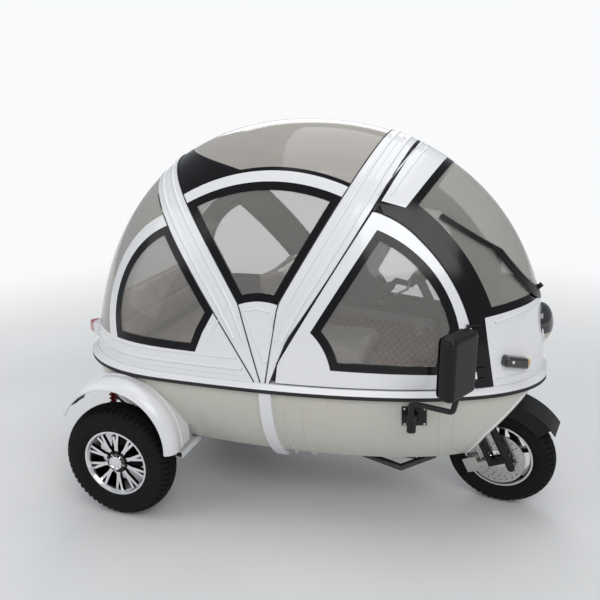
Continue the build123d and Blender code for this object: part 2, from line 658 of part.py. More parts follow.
def steering_head():
    """Tube that carries the stem, on two braces that stand on the cabin floor."""
    middle = (HEAD_LOW + HEAD_HIGH) / 2
    head = FORK.location * Pos(0, 0, middle) * Cylinder(HEAD_RADIUS, HEAD_HIGH - HEAD_LOW)
    top = FORK.location * Pos(0, 0, HEAD_HIGH - 40)
    foot_z = FLOOR_Z + FLOOR_THICKNESS + 0.3
    for side in (-1, 1):
        head += rod(top.position, (330, side * 150, foot_z + 12), 12)
        head += block(300, 360, side * 150 - 25, side * 150 + 25, foot_z, foot_z + 8)
    return head - FORK.location * Pos(0, 0, middle) * Cylinder(STEM_RADIUS + BEARING_GAP, 400)


def mudguard():
    """Black guard over the front tyre with a deep skirt on each side."""
    def sector(inner, outer, low, high):
        ring = Circle(outer) - Circle(inner)
        wedge = make_face(Polyline((0, 0), *[(400 * math.cos(math.radians(a)), 400 * math.sin(math.radians(a)))
                                             for a in (low, (low + high) / 2, high)], close=True))
        return ring & wedge

    half, wall = MUDGUARD_HALF_WIDTH, 3
    leg_gap = FORK_HALF_WIDTH - LEG_RADIUS - half - 0.1
    guard = Pos(0, half, 0) * side_prism(sector(MUDGUARD_RADIUS - wall, MUDGUARD_RADIUS, 36, 99), 2 * half)
    skirt = side_prism(sector(196, MUDGUARD_RADIUS, 42, 98) + sector(196, 226, 97, 108), wall)
    guard += Pos(0, wall - half, 0) * skirt + Pos(0, half, 0) * skirt
    guard = steered(Pos(FRONT_AXLE_X, 0, AXLE_Z) * guard)
    for side in (-1, 1):
        guard += on_fork(Pos(FORK_AHEAD, side * (half + leg_gap / 2), 208) * Box(20, leg_gap, 20))
    save("front_mudguard", guard)


def handlebar():
    """Stem on the fork's crown, with the clamp, swept bar and grips at its top."""
    bar = Pos(0, 0, (CROWN_HIGH + STEM_TOP) / 2) * Cylinder(STEM_RADIUS, STEM_TOP - CROWN_HIGH)
    bar += Pos(0, 0, STEM_TOP + 15) * Box(60, 70, 30)
    for side in (-1, 1):
        points = ((0, 0, STEM_TOP + 18), (0, side * 90, STEM_TOP + 18), (-18, side * 150, STEM_TOP + 62),
                  (-60, side * (GRIP_Y - 4), STEM_TOP + 50))
        for start, end in zip(points, points[1:]):
            bar += rod(start, end, 11) + Pos(*end) * Sphere(11)
    save("handlebar", on_fork(bar))
    grips = []
    for side in (-1, 1):
        start, end = Vector(-18, side * 150, STEM_TOP + 62), Vector(-60, side * (GRIP_Y - 4), STEM_TOP + 50)
        along = (end - start).normalized()
        grip = rod(start + along * 40, end + along * 14, 17) - rod(start, end + along * 11.5, 11 + 0.3)
        grips.append(grip)
    save("handlebar_grips", on_fork(group(*grips)))


def caliper():
    """Brake caliper behind the axle, clear of the disc's face and rim."""
    body = block(-128, -70, -84, -DISC_FAR - 5, -20, 40)
    bridge = block(-128, -114, -DISC_FAR - 5.5, -45, -14, 34)
    arm = block(-80, -20, -84, -66, -6, 12)
    save("brake_caliper", on_fork(body + bridge + arm - Pos(-24, -FORK_HALF_WIDTH, 118) * Cylinder(11.3, 300)))


def front_wheel():
    rubber = tyre(FRONT_TYRE_RADIUS, FRONT_TYRE_WIDTH / 2, FRONT_SEAT_HALF, 39)
    rim = barrel(FRONT_SEAT_HALF, RIM_LIP)
    rim += about_y(30, -DISC_NEAR, 46)
    spoke = make_face(Polyline((24, -14), (122, -9), (122, 9), (24, 14), close=True))
    plane = Plane(origin=(0, 14, 0), x_dir=(0, 0, 1), z_dir=(0, -1, 0))
    for turn in range(5):
        rim += extrude(plane * (Rot(0, 0, turn * 72) * spoke), amount=18)
    rim -= about_y(STUB_RADIUS - 2 + BEARING_GAP, -200, 200)
    disc_plate = about_y(DISC_RADIUS, -DISC_FAR, -DISC_NEAR - 0.3) - about_y(30, -60, -40)
    disc_plate += about_y(34, -DISC_FAR, -DISC_NEAR - 0.3)
    disc_plate -= about_y(STUB_RADIUS - 2 + BEARING_GAP, -200, 200)
    place = Pos(FRONT_AXLE_X, 0, AXLE_Z)
    save("front_tyre", steered(place * rubber))
    save("front_rim", steered(place * rim))
    save("front_disc", steered(place * disc_plate))


# Seats

SEAT_BOX_TOP_Z = 540
SEAT_GAP = 0.3
BOX_X = (-185, 110)
BOX_HALF_WIDTH = 170
CUSHION_X = (-205, 168)
CUSHION_HALF_WIDTH = 205
CUSHION_TOP_Z = 628
BACK_HALF_WIDTH = 195
BACK_TOP_Z = 945
BENCH_REAR_X = -780
BENCH_FRONT_X = -450
BENCH_BASE_HALF_WIDTH = 330
BENCH_CUSHION_X = (-770, -430)
BENCH_HALF_WIDTH = 395
BENCH_TOP_Z = 640
BENCH_BACK_TOP_Z = 855
SHELL_TO_BENCH_BACK = 45


def seats():
    """Driver's seat on the battery box, and the rear bench on its base."""
    floor = FLOOR_Z + FLOOR_THICKNESS + SEAT_GAP
    top = SEAT_BOX_TOP_Z
    box = block(*BOX_X, -BOX_HALF_WIDTH, BOX_HALF_WIDTH, floor, top)
    save("battery_box", fillet(box.edges().filter_by(Axis.Z), 20))
    cushion = block(*CUSHION_X, -CUSHION_HALF_WIDTH, CUSHION_HALF_WIDTH, top + SEAT_GAP, CUSHION_TOP_Z)
    foot = CUSHION_TOP_Z + 2 * SEAT_GAP
    back = outline((-215, foot), (-125, foot), (-205, BACK_TOP_Z), (-290, BACK_TOP_Z - 15))
    back = side_prism(back, BACK_HALF_WIDTH, both=True)
    save("driver_seat", group(fillet(cushion.edges(), 28), fillet(back.edges(), 22)))

    tunnel_front = AXLE_TUNNEL_X + FIT_GAP
    tunnel_top = AXLE_TUNNEL_Z + FLOOR_THICKNESS + FIT_GAP
    base = outline((BENCH_REAR_X, tunnel_top), (tunnel_front, tunnel_top), (tunnel_front, floor),
                   (BENCH_FRONT_X, floor), (BENCH_FRONT_X, top), (BENCH_REAR_X, top))
    save("bench_base", side_prism(base, BENCH_BASE_HALF_WIDTH, both=True))
    cushion = block(*BENCH_CUSHION_X, -BENCH_HALF_WIDTH, BENCH_HALF_WIDTH, top + SEAT_GAP, BENCH_TOP_Z)
    foot = BENCH_TOP_Z + 2 * SEAT_GAP
    rest = outline((-800, foot), (-705, foot), (-790, BENCH_BACK_TOP_Z), (-850, BENCH_BACK_TOP_Z - 5))
    rest = side_prism(rest, both=True) & egg_half(upper_ring, SHELL_TO_BENCH_BACK)
    save("bench_seat", group(fillet(cushion.edges(), 26), rest))


# Mirrors, lamps and wiper

ARM_RADIUS = 9.5
ARM_BEND = 22
ARM_POINTS = ((398, -466, 505), (396, -486, 600), (545, -560, 620), (562, -588.5, 702))
BOSS_PLACE = (398, -462, 512)
BOSS_RADIUS = 16
BOSS_HEIGHT = 60
BRACKET = ((384, 412), (-462, -395), (494, 530))
PLATE_THICKNESS = 5
PLATE_X = (357, 440)
PLATE_Z = (478, 556)
MIRROR_PLACE = (556, -592, 796)
MIRROR_SIZE = (58, 150, 210)
MIRROR_ROUND = 20
MIRROR_YAW = -25


def mirrors():
    """Bracket on the hull, bent arm and upright housing of each side mirror."""
    plate = (egg_half(lower_ring, -PLATE_THICKNESS) - LOWER_EGG) & block(*PLATE_X, -REACH, 0, *PLATE_Z)
    arm = FilletPolyline(*ARM_POINTS, radius=ARM_BEND)
    tube = sweep(Plane(origin=arm @ 0, z_dir=arm % 0) * Circle(ARM_RADIUS), path=arm)
    boss = Pos(*BOSS_PLACE) * Cylinder(BOSS_RADIUS, BOSS_HEIGHT)
    boss += block(*BRACKET[0], *BRACKET[1], *BRACKET[2])
    mount = plate + ((boss + tube) - LOWER_EGG)
    housing_bottom = MIRROR_PLACE[2] - MIRROR_SIZE[2] / 2
    save("mirror_arms", both_sides(mount & block(0, REACH, -REACH, 0, 0, housing_bottom - FIT_GAP / 2)))
    housing = fillet(Box(*MIRROR_SIZE).edges(), MIRROR_ROUND)
    turned = Pos(*MIRROR_PLACE) * Rot(0, 0, MIRROR_YAW) * housing
    save("mirror_housings", both_sides(turned))


HEADLAMP_PLACE = (785, 0, 770)
HEADLAMP_RADII = (52, 66, 78)
SIDE_LAMP_PLACE = (712, -226, 690)
SIDE_LAMP_SIZE = (112, 58, 40)
SIDE_LAMP_YAW = 43
SIDE_LAMP_PITCH = 14
TAIL_LAMP_PLACE = (-962, -262, 660)
TAIL_LAMP_SIZE = (46, 96, 52)
TAIL_LAMP_YAW = 52


def lamps():
    """Headlamp on the nose, a side lamp on each flank of the cowl and a tail lamp on each corner."""
    clear = egg_half(upper_ring, -0.3)
    save("headlamp", Pos(*HEADLAMP_PLACE) * scale(Sphere(1), by=HEADLAMP_RADII) - clear)
    pod = Rot(0, SIDE_LAMP_PITCH, 0) * fillet(Box(*SIDE_LAMP_SIZE).edges(), 12)
    pod = Pos(*SIDE_LAMP_PLACE) * Rot(0, 0, SIDE_LAMP_YAW) * pod
    tail = Pos(*TAIL_LAMP_PLACE) * Rot(0, 0, TAIL_LAMP_YAW) * fillet(Box(*TAIL_LAMP_SIZE).edges(), 10)
    save("side_lamps", both_sides(pod - clear))
    save("tail_lamps", both_sides(tail - clear))


WIPER_BLADE = outline((430, 1190), (436, 1201), (640, 1073), (766, 918), (758, 912), (633, 1064))
WIPER_ARM = outline((604, 1088), (610, 1095), (796, 872), (788, 866))
BLADE_HEIGHT = 10
ARM_LAYER = (8, 18)
WIPER_PIVOT = ((755, -12, 893), (783, -12, 921))
PIVOT_RADIUS = 9


def wiper():
    """Blade that follows the screen, with its arm from a pivot at the foot of the screen."""
    outside = egg_half(upper_ring, BORDER_INSET - 0.3)
    piece = (egg_half(upper_ring, -BLADE_HEIGHT) - outside) & side_prism(WIPER_BLADE)
    arm_low, arm_high = ARM_LAYER
    piece += (egg_half(upper_ring, -arm_high) - egg_half(upper_ring, -arm_low)) & side_prism(WIPER_ARM)
    pivot = rod(*WIPER_PIVOT, PIVOT_RADIUS)
    save("wiper", piece + (pivot - outside))


cabin()
belt()
doors()
hull()
frame()
rear_axle()
spring_gear()
shock_absorbers()
rear_wheels()
fenders()
fork()
mudguard()
handlebar()
caliper()
front_wheel()
seats()
mirrors()
lamps()
wiper()
write_all()
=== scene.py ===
"""Enclosed egg-shaped electric tricycle: materials, soft seats, tyres and fine detail."""

import cmath
import json
import math

import bmesh
import bpy
from mathutils import Matrix, Vector
from mathutils.bvhtree import BVHTree


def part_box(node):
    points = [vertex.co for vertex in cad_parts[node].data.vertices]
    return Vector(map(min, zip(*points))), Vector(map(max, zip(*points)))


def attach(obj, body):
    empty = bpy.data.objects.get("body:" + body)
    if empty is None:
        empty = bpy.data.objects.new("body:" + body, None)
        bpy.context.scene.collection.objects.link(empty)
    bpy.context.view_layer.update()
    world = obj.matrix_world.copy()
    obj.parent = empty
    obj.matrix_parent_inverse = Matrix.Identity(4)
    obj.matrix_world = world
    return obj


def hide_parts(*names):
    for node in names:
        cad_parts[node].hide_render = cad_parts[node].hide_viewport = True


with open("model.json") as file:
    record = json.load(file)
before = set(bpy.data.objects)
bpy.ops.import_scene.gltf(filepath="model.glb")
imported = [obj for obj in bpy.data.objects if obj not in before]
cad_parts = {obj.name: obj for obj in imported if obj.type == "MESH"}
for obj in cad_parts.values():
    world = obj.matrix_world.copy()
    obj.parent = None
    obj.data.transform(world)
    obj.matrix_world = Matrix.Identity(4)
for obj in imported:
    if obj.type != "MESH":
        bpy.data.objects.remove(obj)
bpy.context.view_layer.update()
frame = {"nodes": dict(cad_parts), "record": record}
NODES = frame["nodes"]
JOINTS = {joint["name"]: joint for joint in frame["record"]["behaviour"]["joints"]}

# Places are in mm in the drawing's own frame: +X forward from a datum under the driver, +Y left,
# +Z up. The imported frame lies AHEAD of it, which the rear wheel's place gives.
MM = 0.001
REAR_AXLE_X = -725.5


def middle_of(node):
    """Middle of a CAD node's box."""
    low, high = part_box(node)
    return (Vector(low) + Vector(high)) / 2


AHEAD = middle_of("rear_right_tyre").x / MM - REAR_AXLE_X


def at(x, y, z):
    """A place of the drawing in the scene's metres."""
    return Vector(((x + AHEAD) * MM, y * MM, z * MM))


# The egg that cabin and hull are moulded to, as in the part's source
EGG_REAR, EGG_FRONT = -1009, 813
EGG_HALF_WIDTH, WIDEST_X, PLAN_POWER = 522, -503, 2.34
BELT_Z, CABIN_HEIGHT, TALLEST_X, PROFILE_POWER = 590, 915, -108, 2.17
LEAN_IN = 0.5
HULL_DEPTH, DEEPEST_X, KEEL_POWER = 445, -130, 2.75
LIP_TOP_Z = 612


def swell(x, peak_x, power):
    """Superellipse along the egg: 1 at its peak, nearly 0 at either end."""
    reach = EGG_FRONT - peak_x if x > peak_x else peak_x - EGG_REAR
    return max(1e-6, 1 - abs((x - peak_x) / reach) ** power) ** (1 / power)


def ring_at(x, z):
    """Half-breadth and height share of the egg's cross-section at this place."""
    wide = EGG_HALF_WIDTH * swell(x, WIDEST_X, PLAN_POWER)
    if z < BELT_Z:
        return wide, (BELT_Z - z) / (HULL_DEPTH * swell(x, DEEPEST_X, KEEL_POWER))
    high = CABIN_HEIGHT * swell(x, TALLEST_X, PROFILE_POWER)
    across = wide / math.cos(math.asin(LEAN_IN / (1 + LEAN_IN)))
    return across, (z - BELT_Z + high * LEAN_IN) / (high * (1 + LEAN_IN))


def level(x, y, z):
    """1 on the egg's skin, more outside it."""
    across, rise = ring_at(x, z)
    return (y / across) ** 2 + rise**2


def breadth(x, z):
    """The egg's half-width at this place."""
    across, rise = ring_at(x, z)
    return across * math.sqrt(max(0.0, 1 - rise**2))


def outward(x, y, z):
    """The way the egg's skin faces at this place."""
    slope = [level(*(c + (axis == i) for i, c in enumerate((x, y, z))))
             - level(*(c - (axis == i) for i, c in enumerate((x, y, z)))) for axis in range(3)]
    return Vector(slope).normalized()


def crown_of(x):
    """Height of the cabin's top line."""
    return BELT_Z + CABIN_HEIGHT * swell(x, TALLEST_X, PROFILE_POWER)


# Materials

def recipe(name, colour, roughness, **sockets):
    """Material with one shader: returns it with functions that add a node and link two sockets."""
    made = bpy.data.materials.new(name)
    made.use_nodes = True
    tree = made.node_tree
    shader = tree.nodes["Principled BSDF"]
    shader.inputs["Base Color"].default_value = (*colour, 1)
    shader.inputs["Roughness"].default_value = roughness
    for socket, value in sockets.items():
        shader.inputs[socket.replace("_", " ")].default_value = value

    def add(kind, **values):
        node = tree.nodes.new("ShaderNode" + kind)
        for key, value in values.items():
            if hasattr(node, key):
                setattr(node, key, value)
            else:
                node.inputs[key.replace("_", " ")].default_value = value
        return node

    def link(source, target, output=0):
        if isinstance(source, bpy.types.Node):
            source = source.outputs[output]
        if isinstance(target, bpy.types.Node):
            target = target.inputs[0]
        tree.links.new(source, target)

    return made, shader, add, link


def maths(add, link, operation, first, second=None):
    """Math node whose two values are nodes or plain numbers."""
    node = add("Math", operation=operation)
    for socket, value in zip(node.inputs, (first, second)):
        if isinstance(value, (int, float)):
            socket.default_value = value
        elif value:
            link(value, socket)
    return node


def place_nodes(add, link):
    """Object coordinates, and their three numbers."""
    where = add("TexCoord")
    split = add("SeparateXYZ")
    link(where, split.inputs[0], "Object")
    return where, split


def noise(add, link, where, scale, detail=3.0):
    """Cloudy pattern on the object's own coordinates."""
    made = add("TexNoise", Scale=scale, Detail=detail)
    link(where, made.inputs["Vector"], "Object")
    return made


def mixed(add, link, share, first, second):
    """Colour between two, each a node's colour output or plain numbers, by a share node."""
    blend = add("Mix", data_type="RGBA")
    link(share, blend.inputs["Factor"])
    for socket, colour in ((blend.inputs[6], first), (blend.inputs[7], second)):
        if isinstance(colour, tuple):
            socket.default_value = (*colour, 1)
        else:
            link(colour, socket)
    return blend.outputs[2]


def tinted(colour, share):
    """The colour made darker or lighter."""
    return tuple(min(1.0, c * share) for c in colour)


# Faces that look towards this place, by more than the limit, are the cabin's inside
CABIN_MIDDLE = at(-100, 0, BELT_Z)
INSIDE_FROM = -0.02


def surface(name, colour, roughness, vary, patch, grain, depth, strength, inside=None, centre=None,
            **sockets):
    """Finish with cloudy colour, uneven gloss and fine grain; faces towards the centre may differ."""
    made, shader, add, link = recipe(name, colour, roughness, **sockets)
    where = add("TexCoord")
    cloud = noise(add, link, where, patch)
    tone = mixed(add, link, cloud, tinted(colour, 1 - vary), tinted(colour, 1 + vary))
    if inside:
        facing = add("VectorMath", operation="DOT_PRODUCT")
        link(where, facing.inputs[0], "Normal")
        centred = add("VectorMath", operation="SUBTRACT")
        link(where, centred.inputs[0], "Object")
        centred.inputs[1].default_value = centre or CABIN_MIDDLE
        flat = add("VectorMath", operation="MULTIPLY")
        link(centred, flat.inputs[0])
        flat.inputs[1].default_value = (1, 0, 1) if centre else (1, 1, 1)
        link(flat, facing.inputs[1])
        within = add("Math", operation="LESS_THAN")
        link(facing, within.inputs[0], "Value")
        within.inputs[1].default_value = INSIDE_FROM
        tone = mixed(add, link, within, tone, inside)
    link(tone, shader.inputs["Base Color"])
    gloss = add("MapRange", To_Min=roughness * 0.8, To_Max=min(1.0, roughness * 1.25))
    link(noise(add, link, where, patch * 5), gloss.inputs[0])
    link(gloss, shader.inputs["Roughness"])
    bump = add("Bump", Strength=strength, Distance=depth)
    link(noise(add, link, where, grain), bump.inputs["Height"])
    link(bump, shader.inputs["Normal"])
    return made


WHITE_TONE = (0.76, 0.76, 0.77)
LINER_TONE = (0.045, 0.045, 0.05)
# The hull is gloss white gelcoat; this warm grey-beige is painted shade, the white as it looks in
# shadow.
HULL_SHADE_TONE = (0.56, 0.535, 0.475)
QUILT_TONE = (0.27, 0.095, 0.05)

# After the colour: roughness, spread of the colour, patches and grains of the two patterns to a
# metre, and the grain's depth in metres and strength
WHITE = surface("white_gelcoat", WHITE_TONE, 0.24, 0.03, 3.0, 90.0, 0.0004, 0.12,
                inside=LINER_TONE, Coat_Weight=0.7, Coat_Roughness=0.06)
WHITE_PAINT = surface("white_paint", WHITE_TONE, 0.3, 0.04, 8.0, 200.0, 0.0003, 0.15, Coat_Weight=0.5)
# The hull's finish carries that painted shade in its base colour.
SHADED_HULL_GELCOAT = surface("hull_gelcoat", HULL_SHADE_TONE, 0.26, 0.03, 1.6, 40.0, 0.0003, 0.1,
                     inside=(0.12, 0.12, 0.12), Coat_Weight=0.6, Coat_Roughness=0.08)
TRIM = surface("black_trim", (0.004, 0.004, 0.005), 0.14, 0.3, 6.0, 150.0, 0.0002, 0.08,
               Specular_IOR_Level=0.26)
RUBBER = surface("black_rubber", (0.009, 0.009, 0.009), 0.62, 0.25, 20.0, 700.0, 0.0003, 0.4)
BLACK_PLASTIC = surface("black_plastic", (0.006, 0.006, 0.007), 0.36, 0.25, 12.0, 1400.0, 0.0002, 0.5,
                        Specular_IOR_Level=0.25)
BLACK_STEEL = surface("black_steel", (0.008, 0.008, 0.009), 0.36, 0.35, 9.0, 300.0, 0.0003, 0.25,
                      Specular_IOR_Level=0.3)
STEEL = surface("bright_steel", (0.58, 0.57, 0.55), 0.3, 0.12, 15.0, 500.0, 0.0002, 0.3, Metallic=1.0)
CHROME = surface("chrome", (0.80, 0.80, 0.82), 0.12, 0.04, 20.0, 300.0, 0.0001, 0.1, Metallic=1.0)
MIRROR = surface("mirror_glass", (0.85, 0.87, 0.88), 0.03, 0.01, 4.0, 60.0, 0.0001, 0.02, Metallic=1.0)
TYRE = surface("tyre_rubber", (0.006, 0.006, 0.006), 0.74, 0.3, 14.0, 900.0, 0.0004, 0.5,
               Specular_IOR_Level=0.2)
FENDER_PAINT = surface("fender_paint", WHITE_TONE, 0.3, 0.04, 8.0, 200.0, 0.0003, 0.15,
                       inside=(0.01, 0.01, 0.011), centre=middle_of("rear_right_tyre"), Coat_Weight=0.5)
RED_STEEL = surface("red_shock", (0.30, 0.02, 0.02), 0.3, 0.2, 30.0, 300.0, 0.0002, 0.2, Coat_Weight=0.5)
FLOOR_SHEET = surface("floor_sheet", (0.06, 0.06, 0.062), 0.6, 0.25, 7.0, 260.0, 0.0008, 0.5)
SCREEN = surface("display_glass", (0.02, 0.03, 0.035), 0.08, 0.2, 8.0, 60.0, 0.0001, 0.05)
GREY_BAND = surface("inner_band", (0.26, 0.25, 0.25), 0.6, 0.1, 9.0, 500.0, 0.0004, 0.5)


def leather(name, colour, wrap):
    """Grained leatherette; a clear transport film over it adds a crumpled gloss."""
    made, shader, add, link = recipe(name, colour, 0.5, Coat_Weight=wrap, Coat_Roughness=0.12)
    where = add("TexCoord")
    cells = add("TexVoronoi", Scale=420.0)
    link(where, cells.inputs["Vector"], "Object")
    cloud = noise(add, link, where, 9.0)
    tone = mixed(add, link, cloud, tinted(colour, 0.72), tinted(colour, 1.22))
    link(tone, shader.inputs["Base Color"])
    grain = add("Bump", Strength=0.35, Distance=0.0004)
    link(cells, grain.inputs["Height"], "Distance")
    crumple = add("Bump", Strength=0.5, Distance=0.006)
    link(noise(add, link, where, 26.0, 6.0), crumple.inputs["Height"])
    link(grain, crumple.inputs["Normal"])
    link(crumple, shader.inputs["Normal"])
    link(crumple, shader.inputs["Coat Normal"])
    return made


QUILT_PITCH = 0.034


def quilt():
    """Lining sewn in diamonds with a puffed middle; its colour darkens towards each seam and lightens on
    the puffs as painted shade and highlight.
    """
    made, shader, add, link = recipe("quilted_lining", QUILT_TONE, 0.45, Sheen_Weight=0.2)
    where, split = place_nodes(add, link)
    across = [maths(add, link, "ADD", split.outputs[0], split.outputs[2]),
              maths(add, link, "SUBTRACT", split.outputs[0], split.outputs[2])]
    puffs = []
    for line in across:
        turn = maths(add, link, "MULTIPLY", line, math.pi / QUILT_PITCH)
        wave = maths(add, link, "SINE", turn)
        puffs.append(maths(add, link, "ABSOLUTE", wave))
    puff = maths(add, link, "MULTIPLY", puffs[0], puffs[1])
    soft = maths(add, link, "POWER", puff, 0.45)
    # Painted shade in the seams and painted highlight on the puffs, following the puff height.
    tone = mixed(add, link, soft, tinted(QUILT_TONE, 0.25), tinted(QUILT_TONE, 1.2))
    link(tone, shader.inputs["Base Color"])
    pillow = add("Bump", Strength=0.9, Distance=0.006)
    link(soft, pillow.inputs["Height"])
    grain = add("Bump", Strength=0.3, Distance=0.0004)
    link(noise(add, link, where, 800.0), grain.inputs["Height"])
    link(pillow, grain.inputs["Normal"])
    link(grain, shader.inputs["Normal"])
    return made


def film(name, colour, clear, edge):
    """Tinted window film: see-through face on, denser and glossier at a glancing angle. Where it is
    dense, its beige also serves as painted reflection of the bright sky.
    """
    made, shader, add, link = recipe(name, colour, 0.05, Coat_Weight=0.5, Coat_Roughness=0.03)
    where = add("TexCoord")
    cloud = noise(add, link, where, 3.0)
    tone = mixed(add, link, cloud, tinted(colour, 0.9), tinted(colour, 1.1))
    link(tone, shader.inputs["Base Color"])
    glance = add("LayerWeight", Blend=0.35)
    cover = add("MapRange", To_Min=clear, To_Max=edge)
    link(glance, cover.inputs[0], "Facing")
    link(cover, shader.inputs["Alpha"])
    ripple = add("Bump", Strength=0.02, Distance=0.001)
    link(noise(add, link, where, 12.0, 2.0), ripple.inputs["Height"])
    link(ripple, shader.inputs["Normal"])
    return made


SIDE_FILM = film("side_film", (0.46, 0.44, 0.41), 0.19, 0.5)
SCREEN_FILM = film("screen_film", (0.44, 0.42, 0.38), 0.34, 0.72)
REAR_FILM = film("rear_film", (0.44, 0.43, 0.39), 0.42, 0.78)
# The roof's near-opaque beige is partly the film's tint and partly painted reflection of the bright sky.
ROOF_TINT_AND_REFLECTION = film("roof_film_and_reflection", (0.45, 0.42, 0.38), 0.62, 0.88)
SEAT_LEATHER = leather("seat_leather", (0.44, 0.40, 0.36), 0.9)
BENCH_LEATHER = leather("bench_leather", (0.30, 0.22, 0.18), 0.7)
QUILT = quilt()


def two_tone(name, dark, light, share, roughness, **sockets):
    """Finish in two colours, parted by a share that is worked out from the place on the object."""
    made, shader, add, link = recipe(name, light, roughness, **sockets)
    where, split = place_nodes(add, link)
    cloud = noise(add, link, where, 25.0)
    low = mixed(add, link, cloud, tinted(dark, 0.8), tinted(dark, 1.2))
    high = mixed(add, link, cloud, tinted(light, 0.93), tinted(light, 1.05))
    tone = mixed(add, link, share(add, link, split), low, high)
    link(tone, shader.inputs["Base Color"])
    bump = add("Bump", Strength=0.15, Distance=0.0002)
    link(noise(add, link, where, 400.0), bump.inputs["Height"])
    link(bump, shader.inputs["Normal"])
    return made


# Wheels, lamps and frame in two tones

RIM_FACE_Y = 562
RIM_POCKET, RIM_CAP, FRONT_RIM_LIP = 46, 28.5, 127.5
TAIL_LENS_X = -976
OUTRIGGER_FROM_Y = 330
HEADLAMP_SPLIT_Z = 745
SIDE_LAMP = (712, -226, 690)
SIDE_LAMP_YAW = 43
SIDE_LAMP_TURN = math.radians(SIDE_LAMP_YAW)
SIDE_LENS_FROM = 40
SPOKE_BLACK = (0.012, 0.012, 0.013)
POLISHED = (0.78, 0.78, 0.79)


def from_point(add, link, split, centre, axes="XYZ"):
    """Distance from a point, along some of the axes only."""
    total = None
    for axis in axes:
        index = "XYZ".index(axis)
        away = maths(add, link, "SUBTRACT", split.outputs[index], centre[index])
        square = maths(add, link, "POWER", maths(add, link, "ABSOLUTE", away), 2.0)
        total = maths(add, link, "ADD", total, square) if total else square
    return maths(add, link, "SQRT", total)


def beyond_rim_face(add, link, split):
    """1 on the cap and the machined faces that stand outside the black pocket round the hub."""
    out = maths(add, link, "ABSOLUTE", split.outputs[1])
    machined = maths(add, link, "GREATER_THAN", out, RIM_FACE_Y * MM)
    reach = from_point(add, link, split, middle_of("rear_right_tyre"), "XZ")
    spoke = maths(add, link, "GREATER_THAN", reach, RIM_POCKET * MM)
    cap = maths(add, link, "LESS_THAN", reach, RIM_CAP * MM)
    return maths(add, link, "MULTIPLY", machined, maths(add, link, "MAXIMUM", spoke, cap))


def front_lip(add, link, split):
    """1 on the front rim's polished lips."""
    reach = from_point(add, link, split, JOINTS["front_wheel_spin"]["pos_m"])
    return maths(add, link, "GREATER_THAN", reach, FRONT_RIM_LIP * MM)


def past(axis, operation, limit):
    """A share that is 1 on one side of a plane across an axis; Y is taken alike on either side."""
    def share(add, link, split):
        value = split.outputs["XYZ".index(axis)]
        if axis == "Y":
            value = maths(add, link, "ABSOLUTE", value)
        return maths(add, link, operation, value, limit)
    return share


def pod_end(add, link, split):
    """1 on the amber front end of a side lamp."""
    ahead, aside = math.cos(SIDE_LAMP_TURN), math.sin(SIDE_LAMP_TURN)
    along = maths(add, link, "MULTIPLY", split.outputs[0], ahead)
    across = maths(add, link, "MULTIPLY", maths(add, link, "ABSOLUTE", split.outputs[1]), aside)
    whole = maths(add, link, "SUBTRACT", along, across)
    x, y, z = at(*SIDE_LAMP)
    return maths(add, link, "GREATER_THAN", whole, x * ahead + y * aside + SIDE_LENS_FROM * MM)


FRONT_RIM = two_tone("front_rim", SPOKE_BLACK, POLISHED, front_lip, 0.2, Metallic=0.9)
REAR_RIM = two_tone("machined_rim", SPOKE_BLACK, POLISHED, beyond_rim_face, 0.2, Metallic=0.9,
                    Coat_Weight=0.3)
CHASSIS = two_tone("chassis_paint", (0.02, 0.02, 0.022), WHITE_TONE,
                   past("Y", "GREATER_THAN", OUTRIGGER_FROM_Y * MM), 0.36, Coat_Weight=0.4)
HEADLAMP = two_tone("headlamp_glass", (0.018, 0.018, 0.02), (0.50, 0.44, 0.36),
                    past("Z", "LESS_THAN", HEADLAMP_SPLIT_Z * MM), 0.08, Metallic=0.3,
                    Coat_Weight=1.0, Coat_Roughness=0.03)
SIDE_LAMP_POD = two_tone("side_lamp_pod", (0.010, 0.010, 0.011), (0.62, 0.36, 0.16), pod_end, 0.15,
                         Coat_Weight=0.8, Coat_Roughness=0.04)


def ribbed_lens(name, colour, pitch, share_of_lens):
    """Moulded lamp lens with fine upright ribs, in a white housing."""
    made, shader, add, link = recipe(name, colour, 0.12, Coat_Weight=0.9, Coat_Roughness=0.03)
    split = place_nodes(add, link)[1]
    turn = maths(add, link, "MULTIPLY", split.outputs[1], 2 * math.pi / pitch)
    wave = maths(add, link, "SINE", turn)
    share = maths(add, link, "MULTIPLY_ADD", wave, 0.5)
    share.inputs[2].default_value = 0.5
    ribs = mixed(add, link, share, tinted(colour, 0.55), tinted(colour, 1.2))
    tone = mixed(add, link, share_of_lens(add, link, split), WHITE_TONE, ribs)
    link(tone, shader.inputs["Base Color"])
    bump = add("Bump", Strength=0.5, Distance=0.001)
    link(wave, bump.inputs["Height"])
    link(bump, shader.inputs["Normal"])
    return made


TAIL_LENS = ribbed_lens("tail_lens", (0.42, 0.02, 0.02), 0.008,
                        past("X", "LESS_THAN", at(TAIL_LENS_X, 0, 0).x))

